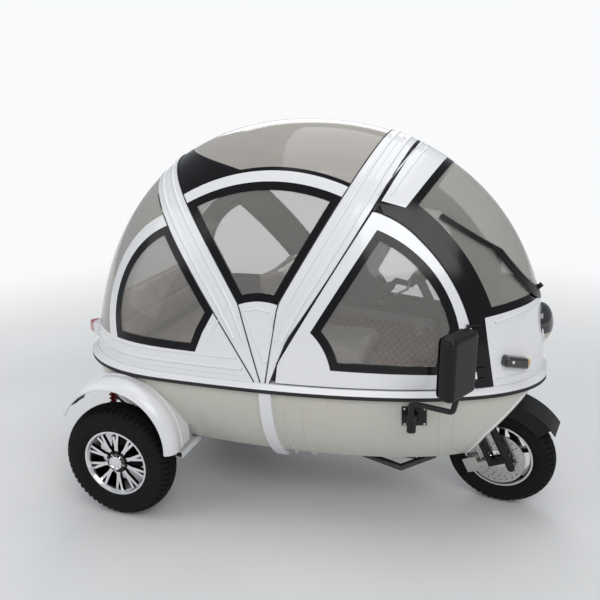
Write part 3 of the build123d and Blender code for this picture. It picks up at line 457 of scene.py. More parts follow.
FINISHES = {
    WHITE: ("belt_lip", "door_right_frame", "door_left_frame", "front_hoop", "header_band",
            "nose_cowl", "quarter_arcs", "rear_flank", "rear_hoop", "side_arches", "v_panels"),
    WHITE_PAINT: ("hull_posts",),
    FENDER_PAINT: ("rear_fenders",),
    SHADED_HULL_GELCOAT: ("hull_front", "hull_rear"),
    TRIM: ("door_right_border", "door_left_border", "front_pillars", "roof_trim",
           "window_borders"),
    RUBBER: ("belt_band", "door_seals", "handlebar_grips"),
    BLACK_PLASTIC: ("front_mudguard", "mirror_housings", "wiper"),
    BLACK_STEEL: ("battery_box", "bench_base", "door_hinges", "front_fork", "handlebar",
                  "mirror_arms", "rear_axle", "spring_gear", "steering_head"),
    CHASSIS: ("chassis_frame",),
    STEEL: ("brake_caliper", "front_disc"),
    FRONT_RIM: ("front_rim",),
    REAR_RIM: ("rear_right_rim", "rear_left_rim"),
    TYRE: ("front_tyre", "rear_right_tyre", "rear_left_tyre"),
    RED_STEEL: ("shock_absorbers",),
    FLOOR_SHEET: ("floor_pan",),
    QUILT: ("hull_linings",),
    SIDE_FILM: ("door_right_pane", "door_left_pane", "side_panes"),
    SCREEN_FILM: ("windscreen_pane",),
    REAR_FILM: ("rear_pane",),
    ROOF_TINT_AND_REFLECTION: ("roof_pane",),
    SEAT_LEATHER: ("driver_seat",),
    BENCH_LEATHER: ("bench_seat",),
    HEADLAMP: ("headlamp",),
    SIDE_LAMP_POD: ("side_lamps",),
    TAIL_LENS: ("tail_lamps",),
}
for finish, names in FINISHES.items():
    for name in names:
        NODES[name].data.materials.clear()
        NODES[name].data.materials.append(finish)


# Meshes

def circle_through(start, via, end, steps):
    """Points of the arc through three points."""
    a, b, c = (complex(*point) for point in (start, via, end))
    share = (c - a) / (b - a)
    centre = a + (b - a) * (share - abs(share) ** 2) / (2j * share.imag)
    first, middle, last = (cmath.phase(point - centre) for point in (a, b, c))
    while middle < first:
        middle += math.tau
    while last < first:
        last += math.tau
    if middle > last:
        last -= math.tau
    places = [centre + cmath.rect(abs(a - centre), first + (last - first) * i / steps)
              for i in range(steps + 1)]
    return [(place.real, place.imag) for place in places]


class Shape:
    """One mesh piece, gathered from swept, turned and boxed parts."""

    def __init__(self):
        self.mesh = bmesh.new()

    def skin(self, rings, closed_ring=True, closed_run=False):
        """Faces between successive rings of points."""
        rows = [[self.mesh.verts.new(point) for point in ring] for ring in rings]
        count = len(rows[0])
        around = range(count) if closed_ring else range(count - 1)
        run = range(len(rows)) if closed_run else range(len(rows) - 1)
        for i in run:
            near, far = rows[i], rows[(i + 1) % len(rows)]
            for j in around:
                k = (j + 1) % count
                self.mesh.faces.new((near[j], near[k], far[k], far[j]))
        if closed_ring and not closed_run:
            self.mesh.faces.new(rows[0])
            self.mesh.faces.new(reversed(rows[-1]))

    def ribbon(self, path, section, closed=False):
        """A section of (across, out) in mm swept along (place, outward) pairs."""
        rings = []
        for i, (place, up) in enumerate(path):
            after = path[(i + 1) % len(path)] if closed else path[min(i + 1, len(path) - 1)]
            before = path[i - 1] if closed or i else path[0]
            along = (after[0] - before[0]).normalized()
            across = along.cross(up).normalized()
            rings.append([place + (across * a + up * b) * MM for a, b in section])
        self.skin(rings, closed_run=closed)

    def lathe(self, matrix, profile, steps):
        """A closed profile of (radius, along) in mm turned about the matrix's Y axis."""
        rings = []
        for i in range(steps):
            turn = math.tau * i / steps
            rings.append([matrix @ Vector((r * math.sin(turn), y, r * math.cos(turn)))
                          for r, y in profile])
        self.skin(rings, closed_run=True)

    def box(self, matrix, size, bevel):
        """Box of that size in mm, its edges rounded."""
        made = bmesh.ops.create_cube(self.mesh, size=1.0)
        corners = made["verts"]
        bmesh.ops.transform(self.mesh, verts=corners,
                            matrix=matrix @ Matrix.Diagonal((*size, 1)))
        edges = list({edge for vertex in corners for edge in vertex.link_edges})
        bmesh.ops.bevel(self.mesh, geom=edges, offset=bevel * MM, segments=3, affect="EDGES",
                        profile=0.6)

    def tube(self, points, radius, sides):
        """Round bar through places in metres."""
        up = Vector((0.13, 0.31, 0.94)).normalized()
        section = [(radius * math.cos(math.tau * i / sides), radius * math.sin(math.tau * i / sides))
                   for i in range(sides)]
        path = []
        for i, point in enumerate(points):
            along = (points[min(i + 1, len(points) - 1)] - points[max(i - 1, 0)]).normalized()
            side = along.cross(up).normalized()
            path.append((point, side.cross(along)))
        self.ribbon(path, section)

    def make(self, name, finish, body, sharp=35):
        """The finished object on its body."""
        bmesh.ops.recalc_face_normals(self.mesh, faces=self.mesh.faces)
        data = bpy.data.meshes.new(name)
        self.mesh.to_mesh(data)
        self.mesh.free()
        data.materials.append(finish)
        data.shade_smooth()
        data.set_sharp_from_angle(angle=math.radians(sharp))
        made = bpy.data.objects.new(name, data)
        bpy.context.scene.collection.objects.link(made)
        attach(made, body)
        return made


def frame_at(place, yaw=0.0, pitch=0.0):
    """Matrix in metres for sizes in mm at a place of the drawing."""
    turn = Matrix.Rotation(math.radians(yaw), 4, "Z") @ Matrix.Rotation(math.radians(pitch), 4, "Y")
    return Matrix.Translation(at(*place)) @ turn @ Matrix.Scale(MM, 4)


def tree_of(*names):
    """Search tree over the meshes of some CAD nodes."""
    places, faces = [], []
    for name in names:
        mesh = NODES[name].data
        start = len(places)
        places += [vertex.co.copy() for vertex in mesh.vertices]
        faces += [[start + i for i in polygon.vertices] for polygon in mesh.polygons]
    return BVHTree.FromPolygons(places, faces)


CABIN_FINISHES = (WHITE, TRIM, SHADED_HULL_GELCOAT, SIDE_FILM, SCREEN_FILM, REAR_FILM, ROOF_TINT_AND_REFLECTION)
SHELL = tree_of(*(name for finish in CABIN_FINISHES for name in FINISHES[finish]
                  if name != "belt_lip"))


DROP = 0.03


def seated(x, y, z):
    """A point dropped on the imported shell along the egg's outward direction, with that direction."""
    up = outward(x, y, z)
    start = at(x, y, z)
    hit = SHELL.ray_cast(start + up * DROP, -up, 2 * DROP)[0]
    return (hit or start), up


def last_where(test, low, high):
    """The highest value, between two, up to which the test holds."""
    for _ in range(30):
        middle = (low + high) / 2
        low, high = (middle, high) if test(middle) else (low, middle)
    return low


def sampled(*steps, count=24):
    """Side-view line through steps of (x, z) or, where an arc leads there, (x, z, via_x, via_z)."""
    points = [steps[0]]
    for before, step in zip(steps, steps[1:]):
        if len(step) == 4:
            points += circle_through(before[:2], step[2:], step[:2], count)[1:]
        else:
            points += [(before[0] + (step[0] - before[0]) * i / count,
                        before[1] + (step[1] - before[1]) * i / count)
                       for i in range(1, count + 1)]
    return points


def x_at(line, z):
    """Where a side-view line that climbs reaches this height."""
    for (x0, z0), (x1, z1) in zip(line, line[1:]):
        if z0 <= z <= z1 and z1 > z0:
            return x0 + (x1 - x0) * (z - z0) / (z1 - z0)
    return line[-1][0] if z > line[-1][1] else line[0][0]


ABOVE_ROOF_Z = 1520


def over(line, foot_z, steps=46):
    """Path on the shell along a side-view line, from the right belt over the top to the left belt."""
    top_z = last_where(lambda z: crown_of(x_at(line, z)) > z, foot_z, ABOVE_ROOF_Z)
    right = []
    for i in range(steps + 1):
        z = foot_z + (top_z - foot_z) * math.sin(math.pi / 2 * i / steps)
        x = x_at(line, z)
        right.append((x, breadth(x, z), z))
    path = [seated(x, -y, z) for x, y, z in right]
    return path + [seated(x, y, z) for x, y, z in reversed(right[:-1])]


def along_side(points, side=-1):
    """Path on the shell through side-view points of one side."""
    return [seated(x, side * breadth(x, z), z) for x, z in points]


def both(points):
    """The same side-view path on the right and, backwards, on the left."""
    return [along_side(points), along_side(points[::-1], 1)]


def ridge(width, height, sink=1.5):
    """Soft raised moulding."""
    half = width / 2
    return [(-half, -sink), (-half * 0.92, 0), (-half * 0.62, height * 0.72), (-half * 0.22, height),
            (half * 0.22, height), (half * 0.62, height * 0.72), (half * 0.92, 0), (half, -sink)]


def bead(radius):
    """Round rubber bead, half sunk in its joint."""
    return [(radius * math.cos(math.tau * i / 8), radius * math.sin(math.tau * i / 8)) for i in range(8)]


# Cabin mouldings, in side view as in the part's source

REAR_HOOP_FRONT = sampled((-140, LIP_TOP_Z), (-236, 881), (-668, 1390, -425, 1131))
REAR_HOOP_REAR = sampled((-162, LIP_TOP_Z), (-745, 1330, -459, 1010))
FRONT_HOOP_FRONT = sampled((-106, LIP_TOP_Z), (-52, 767), (325, 1470, 147, 1104))
FRONT_HOOP_REAR = sampled((-122, LIP_TOP_Z), (-91, 889), (228, 1503))


def between(first, second, share):
    """Side-view line part of the way from one edge of a hoop to the other."""
    top = min(first[-1][1], second[-1][1])
    heights = [LIP_TOP_Z + (top - LIP_TOP_Z) * i / 60 for i in range(61)]
    return [(x_at(first, z) + (x_at(second, z) - x_at(first, z)) * share, z) for z in heights]


# Across the hoop's width as a share, then width, height and how far over the lip the ridge starts
HOOP_RIDGES = ((0.27, 13, 3.5, 150), (0.73, 13, 3.5, 150), (0.5, 5, 1.2, 190))


def hoops():
    """Twin mouldings along each hoop, and the rubber beads where it meets its neighbours."""
    ridges, beads = Shape(), Shape()
    for front, rear in ((REAR_HOOP_FRONT, REAR_HOOP_REAR), (FRONT_HOOP_FRONT, FRONT_HOOP_REAR)):
        for share, width, height, start in HOOP_RIDGES:
            ridges.ribbon(over(between(front, rear, share), LIP_TOP_Z + start), ridge(width, height))
        for edge in (front, rear):
            beads.ribbon(over(edge, LIP_TOP_Z + 2), bead(2.4))
    ridges.make("hoop_mouldings", WHITE, "body")
    beads.make("hoop_beads", RUBBER, "body")


V_BORDER = ((-133, 690), (-118, 690), (-104, 800), (-112, 862), (-163, 872), (-213, 862))
FLANK_END_X = -987
FLANK_STEPS = ((692, 8, 2.4), (655, 12, 4.0), (634, 6, 2.0))
COWL_EDGES = (((640, 835), (790, 868)), ((664, 640), (780, 640)))
QUARTER_EDGE = ((-345, 752), (-278, 880))


def panels():
    """Raised edges of the V panels and quarter panels, and the steps of the rear flank and cowl."""
    shape = Shape()
    for side in (-1, 1):
        loop = sampled(*V_BORDER, V_BORDER[0], count=6)[:-1]
        shape.ribbon(along_side(loop[::side], side), ridge(9, 2.6), closed=True)
    for line_z, width, height in FLANK_STEPS:
        start = (x_at(REAR_HOOP_REAR, line_z) - 20, line_z)
        for path in both(sampled(start, (FLANK_END_X, line_z), count=60)):
            shape.ribbon(path, ridge(width, height))
    for path in both(sampled(*QUARTER_EDGE, count=10)):
        shape.ribbon(path, ridge(8, 2.4))
    for edge in COWL_EDGES:
        for path in both(sampled(*edge, count=20)):
            shape.ribbon(path, ridge(9, 2.8))
    shape.make("panel_mouldings", WHITE, "body")


HEADER_STEPS = ((212, 376), (258, 400))


def header():
    """Two steps over the header band."""
    shape = Shape()
    for foot_x, top_x in HEADER_STEPS:
        line = sampled((foot_x, 1255), (top_x, 1500), count=30)
        shape.ribbon(over(line, 1262, 30), ridge(7, 2.6))
    shape.make("header_mouldings", WHITE, "body")


# Where each rib's foot stands in side view, and its width
HULL_RIBS = ((-60, 262, 14), (10, 268, 26), (480, 300, 22), (525, 322, 14), (-640, 430, 20))
FRONT_CUT = ((572, 292), (635, 404), (752, 545), (778, 580))


def hull():
    """Soft upright ribs pressed in the hull, and the white lip round its front opening."""
    ribs = Shape()
    for x, low, width in HULL_RIBS:
        for path in both(sampled((x, low), (x + 12, BELT_Z - 14))):
            ribs.ribbon(path, ridge(width, 2.6, 0.6))
    ribs.make("hull_ribs", SHADED_HULL_GELCOAT, "body")
    lip = Shape()
    for path in both([(x - 3, z + 3) for x, z in sampled(*FRONT_CUT, count=20)]):
        lip.ribbon(path, ridge(9, 3.2))
    lip.make("hull_lip", WHITE_PAINT, "body")


# Tyres and wheels

def wheel_matrix(centre, axis, mirrored=False):
    """Matrix in metres for a wheel drawn in mm about Y, its outer face towards -Y."""
    turn = Vector((0, 1, 0)).rotation_difference(Vector(axis)).to_matrix().to_4x4()
    flip = Matrix.Diagonal((1, -1 if mirrored else 1, 1, 1))
    return Matrix.Translation(centre) @ turn @ flip @ Matrix.Scale(MM, 4)


def around(matrix, radius, along, count, offset=0.0):
    """Places evenly spaced round the matrix's Y axis."""
    for i in range(count):
        turn = math.tau * (i + offset) / count
        yield matrix @ Matrix.Translation((radius * math.sin(turn), along, radius * math.cos(turn)))


def bolt(shape, spot, shank, head, tip, shoulder, foot, sides=6):
    """Screw head along Y: a chamfered tip, then its widest part down to the foot."""
    shape.lathe(spot, [(0.4, tip), (shank, tip), (head, shoulder), (head, foot), (0.4, foot)], sides)


TYRE_FOOT = 134.5
CROWN_DROP = 14
GROOVE = 6
BLOCK_SLANT = 0.35
# Where a block starts and ends, and the cut behind it, as shares of their pitch
BLOCK_PITCH = (0.0, 0.64, 0.70, 0.94)


def tyre(name, node, matrix, radius, half, seat, shoulder, body, blocks):
    """Tyre with a ribbed crown, cut shoulder blocks and rings on its walls."""
    bulge = (TYRE_FOOT + radius) / 2 - 8
    arc = (shoulder**2 + CROWN_DROP**2) / (2 * CROWN_DROP)

    def crown(y):
        return radius - arc + math.sqrt(arc**2 - y**2)

    # y across the tyre, depth of the groove there, and whether the block pattern cuts it
    tread = [(0, 0, 0), (4, 0, 0), (5, 1, 0), (8, 1, 0), (9, 0, 0), (21, 0, 0.5), (22, 1, 0.5),
             (26, 1, 0.5), (27, 0, 1), (36, 0, 1), (shoulder - 1, 0, 1)]
    wall = circle_through((shoulder, radius - CROWN_DROP), (half, bulge), (seat + 5, TYRE_FOOT), 22)
    half_profile = [(crown(y), y, depth * GROOVE, cut) for y, depth, cut in tread]
    for i, (y, r) in enumerate(wall):
        ring = 1.4 if i in (4, 5, 15, 16, 19) else 0.0
        half_profile.append((r, y + ring, 0.0, 1 if i < 3 else 0))
    half_profile += [(TYRE_FOOT - 1, seat, 0, 0), (129, seat, 0, 0)]
    profile = [(r, -y, d, c) for r, y, d, c in half_profile[:0:-1]] + half_profile
    rings = []
    for block in range(blocks):
        for k, share in enumerate(BLOCK_PITCH):
            ring = []
            for r, y, depth, cut in profile:
                skew = BLOCK_SLANT * (abs(y) / shoulder if abs(y) < half - 4 else 1)
                turn = math.tau * (block + share + skew * (1 if y > 0 else -1)) / blocks
                reach = r - max(depth, GROOVE * cut if k >= 2 else 0.0)
                ring.append(matrix @ Vector((reach * math.sin(turn), y, reach * math.cos(turn))))
            rings.append(ring)
    shape = Shape()
    shape.skin(rings, closed_ring=True, closed_run=True)
    made = shape.make(name, TYRE, body, 28)
    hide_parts(node)


RIM_BOLTS = 5
DISC_HOLES = ((52, 12, 0.0), (66, 16, 0.3), (80, 20, 0.6), (95, 24, 0.2))


def wheel_trim(matrix, body, name):
    """Cap ring, wheel bolts and valve on a rear rim's outer face."""
    shape = Shape()
    shape.lathe(matrix, [(22, -46.2), (24, -48.5), (27, -48.5), (28.4, -46), (28.4, -40), (22, -40)],
                48)
    shape.lathe(matrix, [(0.5, -48), (10, -47.8), (18, -47), (21.5, -46.1), (21.5, -44), (0.5, -44)],
                40)
    for spot in around(matrix, 32.5, -36, RIM_BOLTS, 0.5):
        bolt(shape, spot, 3.2, 4, -3, -1.6, 2)
    shape.make(name + "_trim", CHROME, body, 30)
    valve = Shape()
    stem = matrix @ Matrix.Translation((0, -38, 118))
    valve.lathe(stem, [(0.4, -16), (3, -16), (3, -6), (4.5, 2), (0.4, 2)], 12)
    valve.make(name + "_valve", RUBBER, body)


def rear_wheels():
    for side in ("right", "left"):
        centre = middle_of(f"rear_{side}_tyre")
        matrix = wheel_matrix(centre, (0, 1, 0), side == "left")
        body = f"rear_wheel_{side}"
        tyre(f"rear_{side}_tread", f"rear_{side}_tyre", matrix, 228.5, 58, 44, 49, body, 56)
        wheel_trim(matrix, body, f"rear_{side}_wheel")


def front_wheel():
    """Tread, drilled brake disc and its carrier."""
    axis = JOINTS["front_wheel_spin"]["axis"]
    centre = Vector(JOINTS["front_wheel_spin"]["pos_m"])
    matrix = wheel_matrix(centre, axis)
    tyre("front_tread", "front_tyre", matrix, 214, 46, 32, 39, "front_wheel", 52)
    plate = Shape()
    plate.lathe(matrix, [(33, -51.3), (108, -51.3), (108, -56), (33, -56)], 96)
    disc = plate.make("drilled_disc", STEEL, "front_wheel", 30)
    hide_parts("front_disc")
    holes = Shape()
    for radius, count, offset in DISC_HOLES:
        for spot in around(matrix, radius, -53, count, offset):
            holes.lathe(spot, [(0.01, -8), (3.4, -8), (3.4, 8), (0.01, 8)], 12)
    cutter = holes.make("disc_holes", STEEL, "front_wheel")
    drill = disc.modifiers.new("holes", "BOOLEAN")
    drill.object, drill.operation, drill.solver = cutter, "DIFFERENCE", "EXACT"
    bpy.context.view_layer.objects.active = disc
    disc.select_set(True)
    bpy.ops.object.modifier_apply(modifier=drill.name)
    bpy.data.objects.remove(cutter)
    disc.data.shade_flat()
    carrier = Shape()
    carrier.lathe(matrix, [(11, -56.2), (36, -56.2), (38, -58), (34, -60), (14, -61), (11, -61)], 48)
    for spot in around(matrix, 27, -60, RIM_BOLTS):
        bolt(carrier, spot, 4, 4.6, -4, -2.5, 1)
    carrier.make("disc_carrier", CHROME, "front_wheel", 30)


# Fenders, suspension and frame ends

FENDER_X, FENDER_Z = -708, 330
FENDER_CROWN, FENDER_LIP = 250, 220
FENDER_OUTER, FENDER_INNER = 612, 505
FENDER_FROM, FENDER_TO, FENDER_STEPS = -3, 156, 60


def fender_path(radius, y, margin=0.0):
    """(place, outward) pairs round the fender at this radius, short of its ends by a margin."""
    pairs = []
    reach = FENDER_TO - FENDER_FROM - 2 * margin
    for i in range(FENDER_STEPS + 1):
        turn = math.radians(FENDER_FROM + margin + reach * i / FENDER_STEPS)
        up = Vector((math.cos(turn), 0, math.sin(turn)))
        pairs.append((at(FENDER_X, y, FENDER_Z) + up * radius * MM, up))
    return pairs


def fenders():
    """Rolled white edge, raised rib and black inner liner of each rear fender."""
    edges, liners = Shape(), Shape()
    for side in (-1, 1):
        edges.ribbon(fender_path(FENDER_LIP + 1, side * (FENDER_OUTER - 3)), bead(4.2))
        edges.ribbon(fender_path(FENDER_CROWN - 1.4, side * (FENDER_OUTER - 92)), ridge(14, 2.6))
        edge, shoulder = FENDER_OUTER - 7, FENDER_OUTER - 72
        arc = circle_through((edge - 1, FENDER_LIP + 1), (edge - 17, FENDER_CROWN - 17),
                             (shoulder - 2, FENDER_CROWN - 10), 8)
        section = arc + [(FENDER_INNER, FENDER_CROWN - 12)]
        section += [(y, r - 1.2) for y, r in reversed(section)]
        lines = [fender_path(r, side * y, 0.5) for y, r in section]
        liners.skin([[place for place, up in ring] for ring in zip(*lines)])
    edges.make("fender_edges", WHITE_PAINT, "body")
    liners.make("fender_liners", BLACK_PLASTIC, "body")


COIL_X, COIL_Y, COIL_FOOT_Z, COIL_TOP_Z = -795, 452, 314, 464
COIL_RADIUS, COIL_TURNS, COIL_STEPS = 13, 9, 160


def springs():
    """Red coil round each shock absorber."""
    shape = Shape()
    for side in (-1, 1):
        points = []
        for i in range(COIL_STEPS + 1):
            share = i / COIL_STEPS
            turn = math.tau * COIL_TURNS * share
            points.append(at(COIL_X + COIL_RADIUS * math.cos(turn),
                             side * COIL_Y + COIL_RADIUS * math.sin(turn),
                             COIL_FOOT_Z + (COIL_TOP_Z - COIL_FOOT_Z) * share))
        shape.tube(points, 3.0, 8)
    shape.make("shock_coils", RED_STEEL, "body")


OUTRIGGER_END = (-485, 505.5, 268.5)


def frame_ends():
    """Black plugs in the outriggers' open ends."""
    shape = Shape()
    x, y, z = OUTRIGGER_END
    for side in (-1, 1):
        shape.box(frame_at((x, side * y, z)), (24, 3, 19), 2)
    shape.make("frame_plugs", RUBBER, "body")


# Front end

MIRROR_PLACE = (556, -592, 796)
MIRROR_YAW = -25
RIM_HALF_WIDTH, RIM_HALF_HEIGHT, RIM_STEPS = 66, 95, 10
BRACKET_SCREWS = ((365, 486), (365, 548), (431, 486), (431, 548))


def mirrors():
    """Glass and rim of each mirror, and the bolts of its bracket."""
    glass, screws, rims = Shape(), Shape(), Shape()
    x, y, z = MIRROR_PLACE
    for side in (-1, 1):
        base = frame_at((x, -side * y, z), -side * MIRROR_YAW)
        glass.box(base @ Matrix.Translation((-29.4, 0, 2)), (2.4, 124, 182), 1)
        corners = [Vector((-29.2, sy * RIM_HALF_WIDTH, sz * RIM_HALF_HEIGHT + 2))
                   for sy, sz in ((-1, -1), (1, -1), (1, 1), (-1, 1))]
        facing = (base.to_3x3() @ Vector((-1, 0, 0))).normalized()
        path = [(base @ corner.lerp(following, (k + 0.5) / RIM_STEPS), facing)
                for corner, following in zip(corners, corners[1:] + corners[:1])
                for k in range(RIM_STEPS)]
        rims.ribbon(path, ridge(7, 2.2), closed=True)
        for screw_x, screw_z in BRACKET_SCREWS:
            place, up = seated(screw_x, side * breadth(screw_x, screw_z), screw_z)
            turn = Vector((0, -1, 0)).rotation_difference(up).to_matrix().to_4x4()
            spot = Matrix.Translation(place + up * 0.0052) @ turn @ Matrix.Scale(MM, 4)
            bolt(screws, spot, 3.0, 4.4, -2.4, -1, 1.5, 12)
    glass.make("mirror_faces", MIRROR, "body")
    rims.make("mirror_rims", BLACK_PLASTIC, "body")
    screws.make("bracket_screws", STEEL, "body")


BEZEL_Z, BEZEL_HALF_WIDTH, BEZEL_HALF_HEIGHT = 770, 60, 70


def lamps():
    """Bezel of the headlamp and the reflector spots of the side lamps."""
    bezel = Shape()
    path = []
    for i in range(48):
        turn = math.tau * i / 48
        y, z = BEZEL_HALF_WIDTH * math.cos(turn), BEZEL_Z + BEZEL_HALF_HEIGHT * math.sin(turn)
        x = last_where(lambda x: level(x, y, z) < 1, 700, 840)
        path.append((at(x, y, z), outward(x, y, z)))
    bezel.ribbon(path, ridge(9, 7, 4), closed=True)
    bezel.make("headlamp_bezel", CHROME, "body")
    spots = Shape()
    for side in (-1, 1):
        x, y, z = SIDE_LAMP
        base = frame_at((x, -side * y, z), -side * SIDE_LAMP_YAW, 14)
        spots.box(base @ Matrix.Translation((-28, side * 28.8, 3)), (10, 2.4, 10), 1)
    spots.make("side_lamp_spots", WHITE_PAINT, "body")


def controls():
    """Levers and a plain dial on the handlebar, all on the steered stem."""
    low, high = (Vector(corner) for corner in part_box("handlebar_grips"))
    stem = Vector(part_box("handlebar")[1])
    levers = Shape()
    for side, grip_y in ((-1, low.y), (1, high.y)):
        inner = Vector(((low.x + high.x) / 2 + 0.055, grip_y - side * 0.165, high.z - 0.035))
        outer = Vector((inner.x - 0.025, grip_y - side * 0.02, high.z - 0.05))
        middle = (inner + outer) / 2 + Vector((0.018, 0, -0.004))
        levers.tube([inner, middle, outer], 4.5, 8)
    levers.make("brake_levers", STEEL, "steering")
    dial = Shape()
    face = (low + high) / 2
    place = Matrix.Translation(Vector((face.x + 0.085, face.y, stem.z - 0.02)))
    turn = Matrix.Rotation(math.radians(-38), 4, "Y") @ Matrix.Scale(MM, 4)
    dial.box(place @ turn, (90, 132, 26), 7)
    dial.make("dial_case", BLACK_PLASTIC, "steering")
    glass = Shape()
    glass.box(place @ turn @ Matrix.Translation((0, 0, 13)), (66, 108, 2), 0.6)
    glass.make("dial_glass", SCREEN, "steering")


PAD_REAR_X, PAD_FRONT_X, PAD_INSET = -430, 370, 22
PAD_SECTION = [(-26, -5), (-30, 0), (-26, 7), (0, 9), (26, 7), (30, 0), (26, -5)]
RUNNER_Y, RUNNER_Z = 150, 535


def cabin_lining():
    """Grey sill pad over the quilted lining, the seat's bright runners and the door latches."""
    pads, runners = Shape(), Shape()
    for side, door in ((-1, "door_right"), (1, "door_left")):
        path = []
        for i in range(41):
            x = PAD_REAR_X + (PAD_FRONT_X - PAD_REAR_X) * i / 40
            y = side * (breadth(x, BELT_Z - 2) - PAD_INSET)
            path.append((at(x, y, BELT_Z), Vector((0, -side, 0))))
        pads.ribbon(path, PAD_SECTION)
        runners.tube([at(x, side * RUNNER_Y, RUNNER_Z) for x in (-190, 150)], 6, 10)
        latch = Shape()
        latch.box(frame_at((88, side * 440, 648)), (46, 14, 24), 4)
        latch.make(door + "_latch", CHROME, door)
    pads.make("sill_pads", GREY_BAND, "body")
    runners.make("seat_runners", CHROME, "body")


# Soft seats

def islands(node):
    """The separate closed meshes of a CAD node, the lowest first."""
    whole = bmesh.new()
    whole.from_mesh(NODES[node].data)
    bmesh.ops.remove_doubles(whole, verts=whole.verts, dist=1e-5)
    left, found = set(whole.verts), []
    while left:
        stack, part = [next(iter(left))], set()
        while stack:
            vertex = stack.pop()
            if vertex in part:
                continue
            part.add(vertex)
            stack += [edge.other_vert(vertex) for edge in vertex.link_edges]
        left -= part
        copy = whole.copy()
        keep = {vertex.index for vertex in part}
        bmesh.ops.delete(copy, geom=[v for v in copy.verts if v.index not in keep], context="VERTS")
        found.append(copy)
    whole.free()
    return sorted(found, key=lambda part: min(vertex.co.z for vertex in part.verts))


PAD_VOXEL = 0.011
PAD_PRESSURE, PAD_STIFFNESS, PAD_STEPS = 4, 30, 14
SEAM_WIDTH, SEAM_DEPTH = 0.006, 0.007


def cushion(name, part, finish, channels, swell_to):
    """Padded seat piece: shrunk from its CAD solid, blown up as cloth, then sewn along channels."""
    data = bpy.data.meshes.new(name)
    part.to_mesh(data)
    part.free()
    made = bpy.data.objects.new(name, data)
    bpy.context.scene.collection.objects.link(made)
    places = [vertex.co.copy() for vertex in data.vertices]
    low, high = (Vector(map(end, zip(*places))) for end in (min, max))
    middle = (low + high) / 2
    for vertex in data.vertices:
        for i in range(3):
            reach = (high[i] - low[i]) / 2
            vertex.co[i] = middle[i] + (vertex.co[i] - middle[i]) * (1 - swell_to / reach)
    remesh = made.modifiers.new("voxels", "REMESH")
    remesh.mode, remesh.voxel_size = "VOXEL", PAD_VOXEL
    bpy.context.view_layer.objects.active = made
    bpy.ops.object.modifier_apply(modifier=remesh.name)
    rest = [vertex.co.copy() for vertex in made.data.vertices]
    cloth = made.modifiers.new("pad", "CLOTH")
    cloth.settings.use_pressure = True
    cloth.settings.uniform_pressure_force = PAD_PRESSURE
    cloth.settings.effector_weights.gravity = 0
    cloth.settings.tension_stiffness = PAD_STIFFNESS
    for step in range(1, PAD_STEPS + 1):
        bpy.context.scene.frame_set(step)
    bpy.ops.object.modifier_apply(modifier=cloth.name)
    bpy.context.scene.frame_set(1)
    for vertex, start in zip(made.data.vertices, rest):
        moved = vertex.co - start
        if moved.length > swell_to * 1.4:
            vertex.co = start + moved.normalized() * swell_to * 1.4
    split = made.modifiers.new("smooth", "SUBSURF")
    split.levels = split.render_levels = 1
    bpy.ops.object.modifier_apply(modifier=split.name)
    mesh = made.data
    for vertex, up in zip(mesh.vertices, [vertex.normal.copy() for vertex in mesh.vertices]):
        for axis, place in channels:
            away = (vertex.co[axis] - place) / SEAM_WIDTH
            dip = SEAM_DEPTH * math.exp(-away * away) * max(0.0, abs(up.z) + abs(up.x) - 0.2)
            vertex.co -= up * dip
        for i in range(3):
            vertex.co[i] = min(max(vertex.co[i], low[i] + 0.0004), high[i] - 0.0004)
    mesh.materials.clear()
    mesh.materials.append(finish)
    mesh.shade_smooth()
    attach(made, "body")
    return made


def seats():
    """Driver's cushion and back, and the bench's cushion and back, each in its CAD solid's place."""
    low, high = islands("driver_seat")
    seams = [(1, y * MM) for y in (-118, 118)] + [(0, at(x, 0, 0).x) for x in (-95, 20)]
    base = cushion("driver_cushion", low, SEAT_LEATHER, seams, 0.012)
    seams = [(1, y * MM) for y in (-110, 110)] + [(2, 0.80)]
    rest = cushion("driver_backrest", high, SEAT_LEATHER, seams, 0.010)
    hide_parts("driver_seat")
    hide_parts("driver_seat")
    low, high = islands("bench_seat")
    tucks = [(1, y * MM) for y in (-260, -130, 0, 130, 260)]
    base = cushion("bench_cushion", low, BENCH_LEATHER, tucks, 0.012)
    rest = cushion("bench_backrest", high, BENCH_LEATHER, tucks + [(2, 0.75)], 0.008)
    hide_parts("bench_seat")
    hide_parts("bench_seat")


# Stage

CAMERA_PLACE = Vector((0.8344, -2.7363, 1.6497))
CAMERA_YAW, CAMERA_PITCH, CAMERA_ROLL = 0.3278, 0.2947, -0.0092
CAMERA_LENS = 43.77


def camera():
    """The photograph's own point of view."""
    data = bpy.data.cameras.new("camera")
    data.lens, data.sensor_width = CAMERA_LENS, 36
    made = bpy.data.objects.new("camera", data)
    made.matrix_world = (Matrix.Translation(CAMERA_PLACE) @ Matrix.Rotation(CAMERA_YAW, 4, "Z")
                         @ Matrix.Rotation(math.pi / 2 - CAMERA_PITCH, 4, "X")
                         @ Matrix.Rotation(CAMERA_ROLL, 4, "Z"))
    bpy.context.scene.collection.objects.link(made)
    bpy.context.scene.camera = made


# Place, what it aims at, size in metres and watts
LIGHTS = {
    "key": ((2.2, -3.4, 3.6), (0, 0, 0.6), (3.2, 2.2), 84),
    "fill": ((-3.6, -2.6, 2.4), (0, 0, 0.6), (2.6, 2.6), 30),
    "rim": ((-1.2, 3.6, 3.2), (0, 0, 0.7), (3.0, 2.0), 46),
    "top": ((0.2, 0.0, 4.2), (0, 0, 0.8), (3.4, 2.6), 44),
}
HORIZON = (0.95, 0.96, 0.97, 1)
SKY = (0.86, 0.90, 0.95, 1)
FLOOR_HALF = 40
FADE_FROM, FADE_TO = 1.5, 4.5


